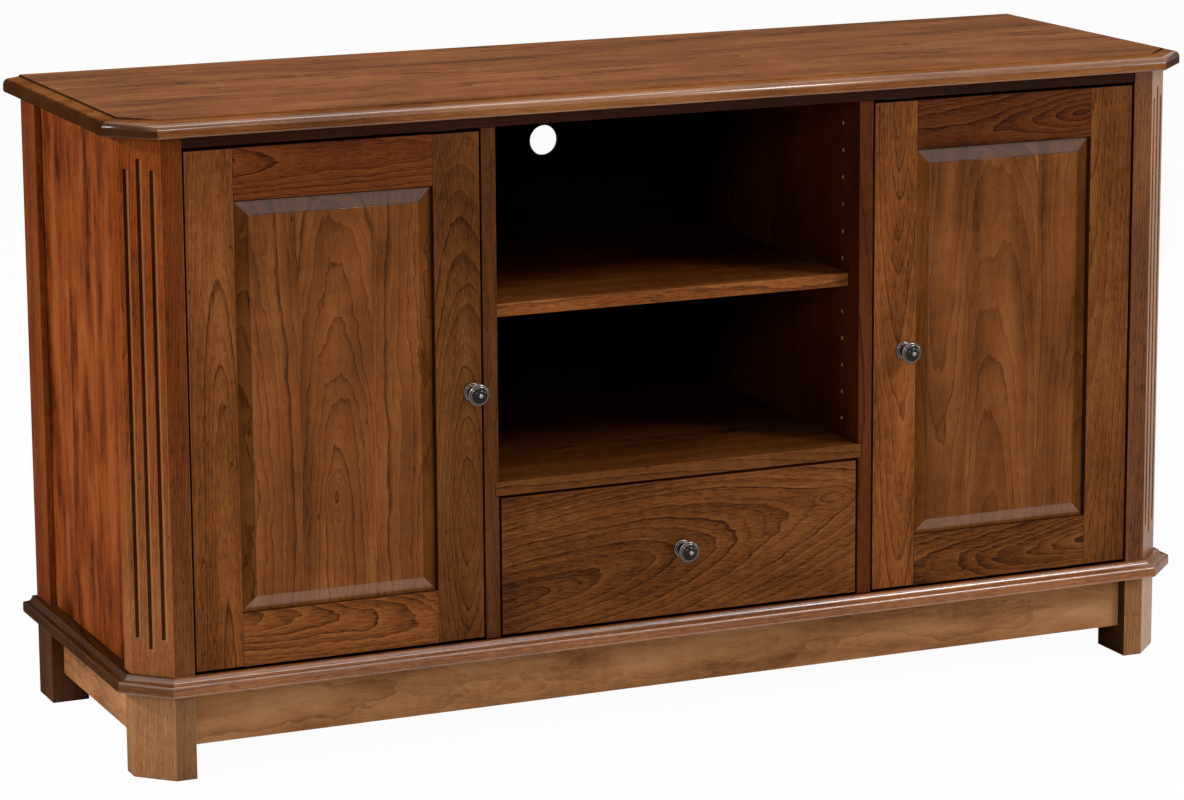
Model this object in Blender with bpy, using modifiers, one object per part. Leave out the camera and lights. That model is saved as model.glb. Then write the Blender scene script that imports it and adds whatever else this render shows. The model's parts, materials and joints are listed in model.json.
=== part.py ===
"""TV console: a stained cherry cabinet with clipped, fluted corner posts.

Two raised-panel doors flank an open bay with an adjustable shelf over one
drawer.  The doors turn on concealed pivot hinges, and the drawer runs on a
pair of three-member slides.  Metres, +Z up, front towards -Y, origin on the
floor under the middle of the console's box.
"""
import math

import bmesh
import bpy
from mathutils import Matrix, Vector

# Overall sizes
TOP_WIDTH = 1.524
BODY_DEPTH = 0.463
HEIGHT = 0.838
OVERHANG = 0.020
BACK_OVERHANG = 0.010
TOP_THICK = 0.022

# Moulded edge of the top
TOP_FLAT_IN = 0.0225
TOP_COVE = 0.0025
NOSE_ROUND = 0.008
NOSE_DROP = 0.004
UNDER_EASE = 0.0025

# Fits
CLEAR = 0.0003
SIDE_GAP = 0.003
TOP_GAP = 0.004
BOTTOM_GAP = 0.003

# Corner posts, which run down to the floor as feet
POST = 0.070
FACET_LEG = 0.0425
BACK_POST_WIDE = 0.050
BACK_POST_DEEP = 0.062
FLUTE_WIDE = 0.0078
FLUTE_DEEP = 0.0026
FLUTE_PITCH = 0.0184
FLUTE_TOP_DROP = 0.040
FLUTE_FOOT_RISE = 0.043
FLUTE_STEP = 0.0138

# Case boards
PANEL_THICK = 0.018
PANEL_RECESS = 0.009
GROOVE_DEEP = 0.008
PARTITION_THICK = 0.0195
BAY_WIDTH = 0.516
BOARD = 0.018
RAIL_THICK = 0.0155
RAIL_DEEP = 0.060
BACK_THICK = 0.006
RABBET = 0.010
BACK_INSET = 0.002
DADO = 0.005
CABLE_HOLE = 0.042
CABLE_HOLE_DROP = 0.112

# Base
MOULD_LOW = 0.1130
MOULD_HIGH = 0.0220
APRON_LOW = 0.040
APRON_RECESS = 0.016
BACK_APRON_RECESS = 0.010
NECK_FLAT = 0.0070
NECK_STEP = 0.0005
COVE = 0.0065
BEAD_ROUND = 0.0028
MOULD_EASE = 0.0025

# Bay
BAY_FLOOR_RISE = 0.1873
SHELF_THICK = 0.0170
SHELF_SETBACK = 0.027
SHELF_SIDE_GAP = 0.002
SHELF_BACK_GAP = 0.012
PIN_PITCH = 0.0362
PIN_TOP_DROP = 0.0352
PIN_FRONT_IN = 0.048
PIN_REAR_IN = 0.077
PIN_HOLE = 0.0029
PIN_RADIUS = 0.0023
PIN_HOLE_DEEP = 0.010
PIN_OUT = 0.009
PIN_CHAMFER = 0.0006
SHELF_HOLE = 6

# Doors and drawer front
DOOR_RECESS = 0.002
DOOR_THICK = 0.020
STILE = 0.0625
TOP_RAIL_HIGH = 0.0655
BOTTOM_RAIL_HIGH = 0.0690
TONGUE = 0.0065
TONGUE_LONG = 0.010
PANEL_LEDGE = 0.001
PANEL_BEVEL = 0.0195
FIELD_SINK = 0.0015
FIELD_STEP = 0.0012
LEFT_KNOB_IN = 0.0125
RIGHT_KNOB_IN = 0.045
KNOB_LOW = 0.005

# Pivot hinges and catches
PIVOT_IN = 0.010
PIVOT_BACK = 0.006
PIVOT_PIN = 0.0024
PIVOT_LONG = 0.012
PIVOT_PLAY = 0.00035
PIVOT_SPARE = 0.001
LEAF_LONG = 0.036
LEAF_WIDE = 0.010
LEAF_THICK = 0.0025
CATCH_LONG = 0.046
CATCH_DEEP = 0.013
CATCH_HIGH = 0.013
CATCH_IN = 0.022

# Drawer box and slides
SLIDE_GAP = 0.013
DRAWER_SIDE = 0.012
DRAWER_BACK_GAP = 0.036
DRAWER_FOOT = 0.016
DRAWER_HEADROOM = 0.034
BOTTOM_THICK = 0.006
BOTTOM_RISE = 0.010
BOTTOM_GROOVE = 0.005
SLIDE_HIGH = 0.046
SLIDE_WALL = 0.0012
SLIDE_PLAY = 0.0004
SLIDE_BACK_GAP = 0.008

# Turned knob: radius against height above the face it stands on
KNOB_OUT = 0.0315
KNOB_PROFILE = (
    (0.0120, 0.0000), (0.0120, 0.0012), (0.0108, 0.0022), (0.0090, 0.0030),
    (0.0064, 0.0058), (0.0052, 0.0102), (0.0064, 0.0150), (0.0128, 0.0186),
    (0.0142, 0.0202), (0.0142, 0.0220), (0.0132, 0.0238), (0.0117, 0.0238),
    (0.0112, 0.0246), (0.0098, 0.0266), (0.0074, 0.0287), (0.0050, 0.0289),
    (0.0038, 0.0296), (0.0028, 0.0309),
)

# Derived planes
HALF_TOP = TOP_WIDTH / 2.0
HALF_BODY = HALF_TOP - OVERHANG
FRONT_REACH = max(OVERHANG, KNOB_OUT + CLEAR - DOOR_RECESS)
WHOLE_DEPTH = FRONT_REACH + BODY_DEPTH + BACK_OVERHANG
FRONT_Y = FRONT_REACH - WHOLE_DEPTH / 2.0
BACK_Y = FRONT_Y + BODY_DEPTH
DOOR_Y = FRONT_Y + DOOR_RECESS
DOOR_BACK_Y = DOOR_Y + DOOR_THICK
UNDER_TOP = HEIGHT - TOP_THICK
CASE_TOP = UNDER_TOP - CLEAR
FLOOR_TOP = MOULD_LOW + MOULD_HIGH
FLOOR_LOW = FLOOR_TOP - BOARD
RAIL_LOW = CASE_TOP - RAIL_THICK
HALF_OPEN = HALF_BODY - POST
PANEL_OUT = HALF_BODY - PANEL_RECESS
PANEL_IN = PANEL_OUT - PANEL_THICK
HALF_BAY = BAY_WIDTH / 2.0
PART_OUT = HALF_BAY + PARTITION_THICK
BACK_FACE_Y = BACK_Y - BACK_INSET - BACK_THICK
CASE_BACK_Y = BACK_FACE_Y - CLEAR
BAY_FLOOR_LOW = FLOOR_TOP + BAY_FLOOR_RISE
BAY_FLOOR_TOP = BAY_FLOOR_LOW + BOARD
DOOR_TOP = RAIL_LOW - TOP_GAP
DOOR_LOW = FLOOR_TOP + BOTTOM_GAP
DOOR_HIGH = DOOR_TOP - DOOR_LOW
DRAWER_TOP = BAY_FLOOR_LOW - TOP_GAP
MITRE = 2.0 - math.sqrt(2.0)
PIN_TOP = RAIL_LOW - PIN_TOP_DROP
PIN_FRONT_Y = DOOR_Y + PIN_FRONT_IN
PIN_REAR_Y = CASE_BACK_Y - PIN_REAR_IN
PIN_ROWS = int((PIN_TOP - BAY_FLOOR_TOP - PIN_HOLE) / PIN_PITCH) + 1
SHELF_LOW = PIN_TOP - SHELF_HOLE * PIN_PITCH + PIN_RADIUS + CLEAR

for old in list(bpy.data.objects):
    bpy.data.objects.remove(old, do_unlink=True)

scene = bpy.context.scene
parts = bpy.data.collections.new("tv_console")
cutters = bpy.data.collections.new("tv_console_cutters")
scene.collection.children.link(parts)
scene.collection.children.link(cutters)


def material(name, colour, roughness, metallic=0.0):
    """A Principled material in one colour."""
    made = bpy.data.materials.new(name)
    made.use_nodes = True
    shader = made.node_tree.nodes["Principled BSDF"]
    shader.inputs["Base Color"].default_value = (*colour, 1.0)
    shader.inputs["Roughness"].default_value = roughness
    shader.inputs["Metallic"].default_value = metallic
    made.diffuse_color = (*colour, 1.0)
    return made


CHERRY = material("stained_cherry", (0.27, 0.105, 0.042), 0.35)
CHERRY_TOP = material("stained_cherry_top", (0.33, 0.15, 0.065), 0.30)
DARK_WOOD = material("stained_inside", (0.11, 0.045, 0.022), 0.55)
MAPLE = material("drawer_box_wood", (0.62, 0.45, 0.27), 0.50)
PEWTER = material("antique_pewter", (0.10, 0.095, 0.09), 0.38, 1.0)
STEEL = material("zinc_steel", (0.55, 0.56, 0.57), 0.35, 1.0)
MAGNET = material("brown_plastic", (0.06, 0.035, 0.025), 0.50)


def add(name, mesh, where, place=(0.0, 0.0, 0.0), paint=None):
    """A named object for a mesh, in one of the two collections."""
    made = bpy.data.objects.new(name, mesh)
    where.objects.link(made)
    made.location = place
    if paint is not None:
        made.data.materials.append(paint)
    if where is cutters:
        made.hide_render = True
        made.display_type = "WIRE"
    return made


def box_into(bm, low, high):
    """One cube between two corners, added to a bmesh."""
    low = Vector(low)
    high = Vector(high)
    middle = (low + high) / 2.0
    size = high - low
    frame = Matrix.Translation(middle) @ Matrix.Diagonal((*size, 1.0))
    bmesh.ops.create_cube(bm, size=1.0, matrix=frame)


def rod_into(bm, middle, radius, length, axis, sides):
    """One capped cylinder about X, Y or Z, added to a bmesh."""
    turn = {
        "X": Matrix.Rotation(math.pi / 2.0, 4, "Y"),
        "Y": Matrix.Rotation(math.pi / 2.0, 4, "X"),
        "Z": Matrix.Identity(4),
    }[axis]
    frame = Matrix.Translation(middle) @ turn
    bmesh.ops.create_cone(
        bm, cap_ends=True, segments=sides, radius1=radius, radius2=radius,
        depth=length, matrix=frame)


def mesh_of(name, bm):
    """Close a bmesh into a mesh."""
    mesh = bpy.data.meshes.new(name)
    bm.normal_update()
    bm.to_mesh(mesh)
    bm.free()
    return mesh


def board(name, low, high, paint):
    """A plain board between two corners, with its origin in its middle."""
    middle = (Vector(low) + Vector(high)) / 2.0
    bm = bmesh.new()
    box_into(bm, Vector(low) - middle, Vector(high) - middle)
    return add(name, mesh_of(name, bm), parts, middle, paint)


def boxes(name, spans):
    """A cutter made of separate boxes."""
    bm = bmesh.new()
    for low, high in spans:
        box_into(bm, low, high)
    return add(name, mesh_of(name, bm), cutters)


def boolean(piece, tool, kind="DIFFERENCE"):
    """Cut a piece with a tool, or join the two."""
    step = piece.modifiers.new(tool.name, "BOOLEAN")
    step.operation = kind
    step.solver = "EXACT"
    step.object = tool
    return piece


def loft(name, rings, paint, where=None):
    """A closed solid through rings that hold the same number of points."""
    bm = bmesh.new()
    rows = [[bm.verts.new(point) for point in ring] for ring in rings]
    count = len(rows[0])
    for lower, upper in zip(rows, rows[1:]):
        for i in range(count):
            j = (i + 1) % count
            bm.faces.new((lower[i], lower[j], upper[j], upper[i]))
    bm.faces.new(list(reversed(rows[0])))
    bm.faces.new(rows[-1])
    bmesh.ops.recalc_face_normals(bm, faces=bm.faces)
    return add(name, mesh_of(name, bm), where or parts, paint=paint)


def turned(name, profile, steps, place, turn, paint, where=None):
    """A profile of (radius, height) points, low to high, spun about Z."""
    bottom = [(0.0, profile[0][1])]
    top = [(0.0, profile[-1][1])]
    chain = list(reversed(bottom + list(profile) + top))
    bm = bmesh.new()
    points = [bm.verts.new((r, 0.0, h)) for r, h in chain]
    for one, two in zip(points, points[1:]):
        bm.edges.new((one, two))
    made = add(name, mesh_of(name, bm), where or parts, place, paint)
    made.rotation_euler = turn
    spin = made.modifiers.new("Screw", "SCREW")
    spin.axis = "Z"
    spin.steps = steps
    spin.render_steps = steps
    spin.use_merge_vertices = True
    spin.merge_threshold = 0.00001
    spin.use_smooth_shade = True
    return made


def outline(spread, back):
    """The body's outline, clipped at the front corners, moved out by spread."""
    half = HALF_BODY + spread
    front = FRONT_Y - spread
    leg = FACET_LEG + MITRE * spread
    return [
        (-half, back), (-half, front + leg), (-half + leg, front),
        (half - leg, front), (half, front + leg), (half, back),
    ]


def arc(middle, radius, start, end, count):
    """Points on an arc, angles in degrees."""
    found = []
    for i in range(count):
        angle = math.radians(start + (end - start) * i / (count - 1))
        found.append((
            middle[0] + radius * math.cos(angle),
            middle[1] + radius * math.sin(angle)))
    return found


def ride(empty, pieces):
    """Hang pieces on the empty that stands on their joint's axis."""
    for piece in pieces:
        piece.location = piece.location - empty.location
        piece.parent = empty


def carrier(name, place):
    """An empty on a joint's axis."""
    made = bpy.data.objects.new(name, None)
    made.empty_display_size = 0.05
    made.location = place
    parts.objects.link(made)
    return made


# Top: the outline drawn in ring by ring, from the underside over the nose to
# the flat of the top, so that the moulded edge mitres round the clipped corners
edge = [(UNDER_EASE + x, UNDER_EASE + z)
        for x, z in arc((0.0, 0.0), UNDER_EASE, 270.0, 180.0, 3)]
edge += [(NOSE_ROUND + x, TOP_THICK - NOSE_DROP - NOSE_ROUND + z)
         for x, z in arc((0.0, 0.0), NOSE_ROUND, 180.0, 100.0, 5)]
edge += arc((TOP_FLAT_IN - TOP_COVE, TOP_THICK), TOP_COVE, 270.0, 360.0, 4)
top_back = BACK_Y + BACK_OVERHANG
loft("top_panel", [
    [(x, y, UNDER_TOP + z) for x, y in outline(OVERHANG - inset, top_back)]
    for inset, z in edge], CHERRY_TOP)

# Front posts: clipped squares with three stopped flutes on the facet, and a
# housing for the side panel in the back face
flute_round = (FLUTE_WIDE ** 2 / 4.0 + FLUTE_DEEP ** 2) / (2.0 * FLUTE_DEEP)
flute_out = flute_round - FLUTE_DEEP
facet_mid = HALF_BODY - FACET_LEG / 2.0
slant = math.sqrt(0.5)
for side, sign in (("left", -1.0), ("right", 1.0)):
    inner = sign * HALF_OPEN
    outer = sign * HALF_BODY
    bm = bmesh.new()
    foot = [bm.verts.new((x, y, 0.0)) for x, y in (
        (inner, FRONT_Y), (outer - sign * FACET_LEG, FRONT_Y),
        (outer, FRONT_Y + FACET_LEG), (outer, FRONT_Y + POST),
        (inner, FRONT_Y + POST))]
    base = bm.faces.new(foot)
    grown = bmesh.ops.extrude_face_region(bm, geom=[base])
    bmesh.ops.translate(
        bm, vec=(0.0, 0.0, CASE_TOP),
        verts=[v for v in grown["geom"] if isinstance(v, bmesh.types.BMVert)])
    bmesh.ops.recalc_face_normals(bm, faces=bm.faces)
    post = add("front_%s_post" % side, mesh_of("front_%s_post" % side, bm),
               parts, paint=CHERRY)
    housing = boxes("front_%s_post_housing" % side, [(
        (min(sign * (PANEL_IN - CLEAR), sign * (PANEL_OUT + CLEAR)),
         FRONT_Y + POST - GROOVE_DEEP - CLEAR, FLOOR_LOW - CLEAR),
        (max(sign * (PANEL_IN - CLEAR), sign * (PANEL_OUT + CLEAR)),
         FRONT_Y + POST + GROOVE_DEEP, HEIGHT))])
    boolean(post, housing)
    for index in (-1, 0, 1):
        step = 0.0 if index else FLUTE_STEP
        low = FLOOR_TOP + FLUTE_FOOT_RISE - step
        high = CASE_TOP - FLUTE_TOP_DROP + step
        shift = index * FLUTE_PITCH * slant
        along = flute_out * slant
        rise = [(r, low + flute_round + z) for r, z in
                arc((0.0, 0.0), flute_round, -90.0, 0.0, 4)][1:]
        fall = [(r, high - flute_round + z) for r, z in
                arc((0.0, 0.0), flute_round, 0.0, 90.0, 4)][:-1]
        chain = [(0.0, high)] + list(reversed(rise + fall)) + [(0.0, low)]
        flute_name = "front_%s_flute_%d" % (side, index + 2)
        bm = bmesh.new()
        points = [bm.verts.new((r, 0.0, z)) for r, z in chain]
        for one, two in zip(points, points[1:]):
            bm.edges.new((one, two))
        flute = add(flute_name, mesh_of(flute_name, bm), cutters, (
            sign * (facet_mid + along - shift),
            FRONT_Y + FACET_LEG / 2.0 - along - shift, 0.0))
        spin = flute.modifiers.new("Screw", "SCREW")
        spin.axis = "Z"
        spin.steps = 16
        spin.render_steps = 16
        spin.use_merge_vertices = True
        spin.merge_threshold = 0.00001
        boolean(post, flute)

# Back posts, housed for the side panels and rabbeted for the back panel
post_front_y = BACK_Y - BACK_POST_DEEP
post_in = HALF_BODY - BACK_POST_WIDE
for side, sign in (("left", -1.0), ("right", 1.0)):
    span = sorted((sign * post_in, sign * HALF_BODY))
    post = board("back_%s_post" % side, (span[0], post_front_y, 0.0),
                 (span[1], BACK_Y, CASE_TOP), CHERRY)
    slot = sorted((sign * (PANEL_IN - CLEAR), sign * (PANEL_OUT + CLEAR)))
    lip = sorted((sign * (post_in - RABBET), sign * (post_in + RABBET)))
    boolean(post, boxes("back_%s_post_housings" % side, [
        ((slot[0], post_front_y - GROOVE_DEEP, FLOOR_LOW - CLEAR),
         (slot[1], post_front_y + GROOVE_DEEP + CLEAR, HEIGHT)),
        ((lip[0], BACK_FACE_Y - CLEAR, FLOOR_LOW - CLEAR),
         (lip[1], BACK_Y + RABBET, HEIGHT))]))

# Side panels, let into the posts
for side, sign in (("left", -1.0), ("right", 1.0)):
    span = sorted((sign * PANEL_IN, sign * PANEL_OUT))
    board("%s_side_panel" % side,
          (span[0], FRONT_Y + POST - GROOVE_DEEP, FLOOR_LOW),
          (span[1], post_front_y + GROOVE_DEEP, CASE_TOP), CHERRY)

# Rails under the top
front_rail = board(
    "top_front_rail", (-HALF_OPEN + CLEAR, DOOR_Y, RAIL_LOW),
    (HALF_OPEN - CLEAR, DOOR_Y + RAIL_DEEP, CASE_TOP), CHERRY)
board("top_back_rail",
      (-post_in + CLEAR, CASE_BACK_Y - BOARD, RAIL_LOW),
      (post_in - CLEAR, CASE_BACK_Y, CASE_TOP), DARK_WOOD)

# Case floor, notched round the four posts
floor = board("cabinet_floor", (-PANEL_IN + CLEAR, FRONT_Y, FLOOR_LOW),
              (PANEL_IN - CLEAR, CASE_BACK_Y, FLOOR_TOP), DARK_WOOD)
notches = []
for sign in (-1.0, 1.0):
    ahead = sorted((sign * (HALF_OPEN - CLEAR), sign * HALF_TOP))
    behind = sorted((sign * (post_in - CLEAR), sign * HALF_TOP))
    notches.append((
        (ahead[0], FRONT_Y - POST, FLOOR_LOW - BOARD),
        (ahead[1], FRONT_Y + POST + CLEAR, FLOOR_TOP + BOARD)))
    notches.append((
        (behind[0], post_front_y - CLEAR, FLOOR_LOW - BOARD),
        (behind[1], BACK_Y + POST, FLOOR_TOP + BOARD)))
boolean(floor, boxes("cabinet_floor_notches", notches))

# Partitions: notched for the two rails, housed for the bay floor, and drilled
# on the bay side with two columns of holes for shelf pins
for side, sign in (("left", -1.0), ("right", 1.0)):
    span = sorted((sign * HALF_BAY, sign * PART_OUT))
    wall = board("%s_partition" % side, (span[0], DOOR_Y, FLOOR_TOP + CLEAR),
                 (span[1], CASE_BACK_Y, CASE_TOP), CHERRY)
    dado = sorted((sign * (HALF_BAY - DADO), sign * (HALF_BAY + DADO + CLEAR)))
    boolean(wall, boxes("%s_partition_notches" % side, [
        ((span[0] - BOARD, DOOR_Y - BOARD, RAIL_LOW - CLEAR),
         (span[1] + BOARD, DOOR_Y + RAIL_DEEP + CLEAR, HEIGHT)),
        ((span[0] - BOARD, CASE_BACK_Y - BOARD - CLEAR, RAIL_LOW - CLEAR),
         (span[1] + BOARD, BACK_Y + BOARD, HEIGHT)),
        ((dado[0], DOOR_Y - BOARD, BAY_FLOOR_LOW - CLEAR),
         (dado[1], BACK_Y + BOARD, BAY_FLOOR_TOP + CLEAR))]))
    bm = bmesh.new()
    for row in range(PIN_ROWS):
        for column in (PIN_FRONT_Y, PIN_REAR_Y):
            rod_into(bm, (sign * HALF_BAY, column, PIN_TOP - row * PIN_PITCH),
                     PIN_HOLE, 2.0 * PIN_HOLE_DEEP, "X", 8)
    holes_name = "%s_partition_pin_holes" % side
    boolean(wall, add(holes_name, mesh_of(holes_name, bm), cutters))

# Bay floor, housed in both partitions
board("bay_floor",
      (-HALF_BAY - DADO, DOOR_Y, BAY_FLOOR_LOW),
      (HALF_BAY + DADO, CASE_BACK_Y, BAY_FLOOR_TOP), CHERRY)

# Back panel with the cable hole behind the bay
back_panel = board(
    "back_panel",
    (-post_in - RABBET + CLEAR, BACK_FACE_Y, FLOOR_LOW),
    (post_in + RABBET - CLEAR, BACK_FACE_Y + BACK_THICK, CASE_TOP), DARK_WOOD)
bm = bmesh.new()
rod_into(bm, (0.0, BACK_FACE_Y, UNDER_TOP - CABLE_HOLE_DROP),
         CABLE_HOLE / 2.0, 4.0 * BACK_THICK, "Y", 32)
boolean(back_panel, add("cable_hole", mesh_of("cable_hole", bm), cutters))

# Aprons between the feet
apron_top = FLOOR_LOW - CLEAR
board("front_apron",
      (-HALF_OPEN + CLEAR, FRONT_Y + APRON_RECESS, APRON_LOW),
      (HALF_OPEN - CLEAR, FRONT_Y + APRON_RECESS + BOARD, apron_top), CHERRY)
board("back_apron",
      (-post_in + CLEAR, BACK_Y - BACK_APRON_RECESS - BOARD, APRON_LOW),
      (post_in - CLEAR, BACK_Y - BACK_APRON_RECESS, apron_top), CHERRY)
for side, sign in (("left", -1.0), ("right", 1.0)):
    face = HALF_BODY - APRON_RECESS
    span = sorted((sign * (face - BOARD), sign * face))
    board("%s_apron" % side,
          (span[0], FRONT_Y + POST + CLEAR, APRON_LOW),
          (span[1], post_front_y - CLEAR, apron_top), CHERRY)

# Base moulding: five mitred lengths of one profile, flat, cove, bead and nose,
# the side lengths scribed round the posts to reach the recessed panels
cove_top = MOULD_HIGH - NECK_STEP
cove_low = cove_top - COVE
cove_mid = (NECK_FLAT + COVE, cove_top)
face_edge = arc((OVERHANG - MOULD_EASE, MOULD_EASE), MOULD_EASE, 270.0, 360.0, 3)
face_edge += arc((OVERHANG - BEAD_ROUND, cove_low - BEAD_ROUND), BEAD_ROUND, 0.0, 90.0, 4)
hollow = arc(cove_mid, COVE, 270.0, 180.0, 5)
mould = face_edge + hollow + [(NECK_FLAT, MOULD_HIGH)]


def moulding(name, first, reach):
    """One length between two corners of the outline, mitred at both ends."""
    section = [(reach, 0.0)] + mould + [(reach, MOULD_HIGH)]
    rings = []
    for at, other in ((first, first + 1), (first + 1, first)):
        ring = []
        for spread, z in section:
            corners = outline(spread, BACK_Y)
            here = Vector(corners[at])
            run = (Vector(corners[other]) - here).normalized()
            ease = 0.0 if at in (0, 5) else 0.55 * CLEAR
            spot = here + run * ease
            ring.append((spot.x, spot.y, MOULD_LOW + z))
        rings.append(ring)
    return loft(name, rings, CHERRY)


moulding("left_corner_moulding", 1, CLEAR)
moulding("front_moulding", 2, CLEAR)
moulding("right_corner_moulding", 3, CLEAR)
for side, sign, first in (("left", -1.0, 0), ("right", 1.0, 4)):
    length = moulding("%s_moulding" % side, first, CLEAR - PANEL_RECESS)
    reach = sorted((sign * (HALF_BODY + CLEAR), sign * (PANEL_IN - POST)))
    boolean(length, boxes("%s_moulding_scribes" % side, [
        ((reach[0], FRONT_Y - POST, MOULD_LOW - BOARD),
         (reach[1], FRONT_Y + POST + CLEAR, FLOOR_TOP + BOARD)),
        ((reach[0], post_front_y - CLEAR, MOULD_LOW - BOARD),
         (reach[1], BACK_Y + POST, FLOOR_TOP + BOARD))]))

# Shelf on four pins
shelf_half = HALF_BAY - SHELF_SIDE_GAP
board("centre_shelf", (-shelf_half, DOOR_Y + SHELF_SETBACK, SHELF_LOW),
      (shelf_half, CASE_BACK_Y - SHELF_BACK_GAP, SHELF_LOW + SHELF_THICK),
      CHERRY)
pin_profile = (
    (PIN_RADIUS - PIN_CHAMFER, CLEAR - PIN_HOLE_DEEP),
    (PIN_RADIUS, CLEAR - PIN_HOLE_DEEP + PIN_CHAMFER),
    (PIN_RADIUS, PIN_OUT - PIN_CHAMFER), (PIN_RADIUS - PIN_CHAMFER, PIN_OUT))
for side, sign in (("left", -1.0), ("right", 1.0)):
    for end, column in (("front", PIN_FRONT_Y), ("rear", PIN_REAR_Y)):
        turned("%s_%s_shelf_pin" % (side, end), pin_profile, 12,
               (sign * HALF_BAY, column, PIN_TOP - SHELF_HOLE * PIN_PITCH),
               (0.0, -sign * math.pi / 2.0, 0.0), STEEL)

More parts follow.
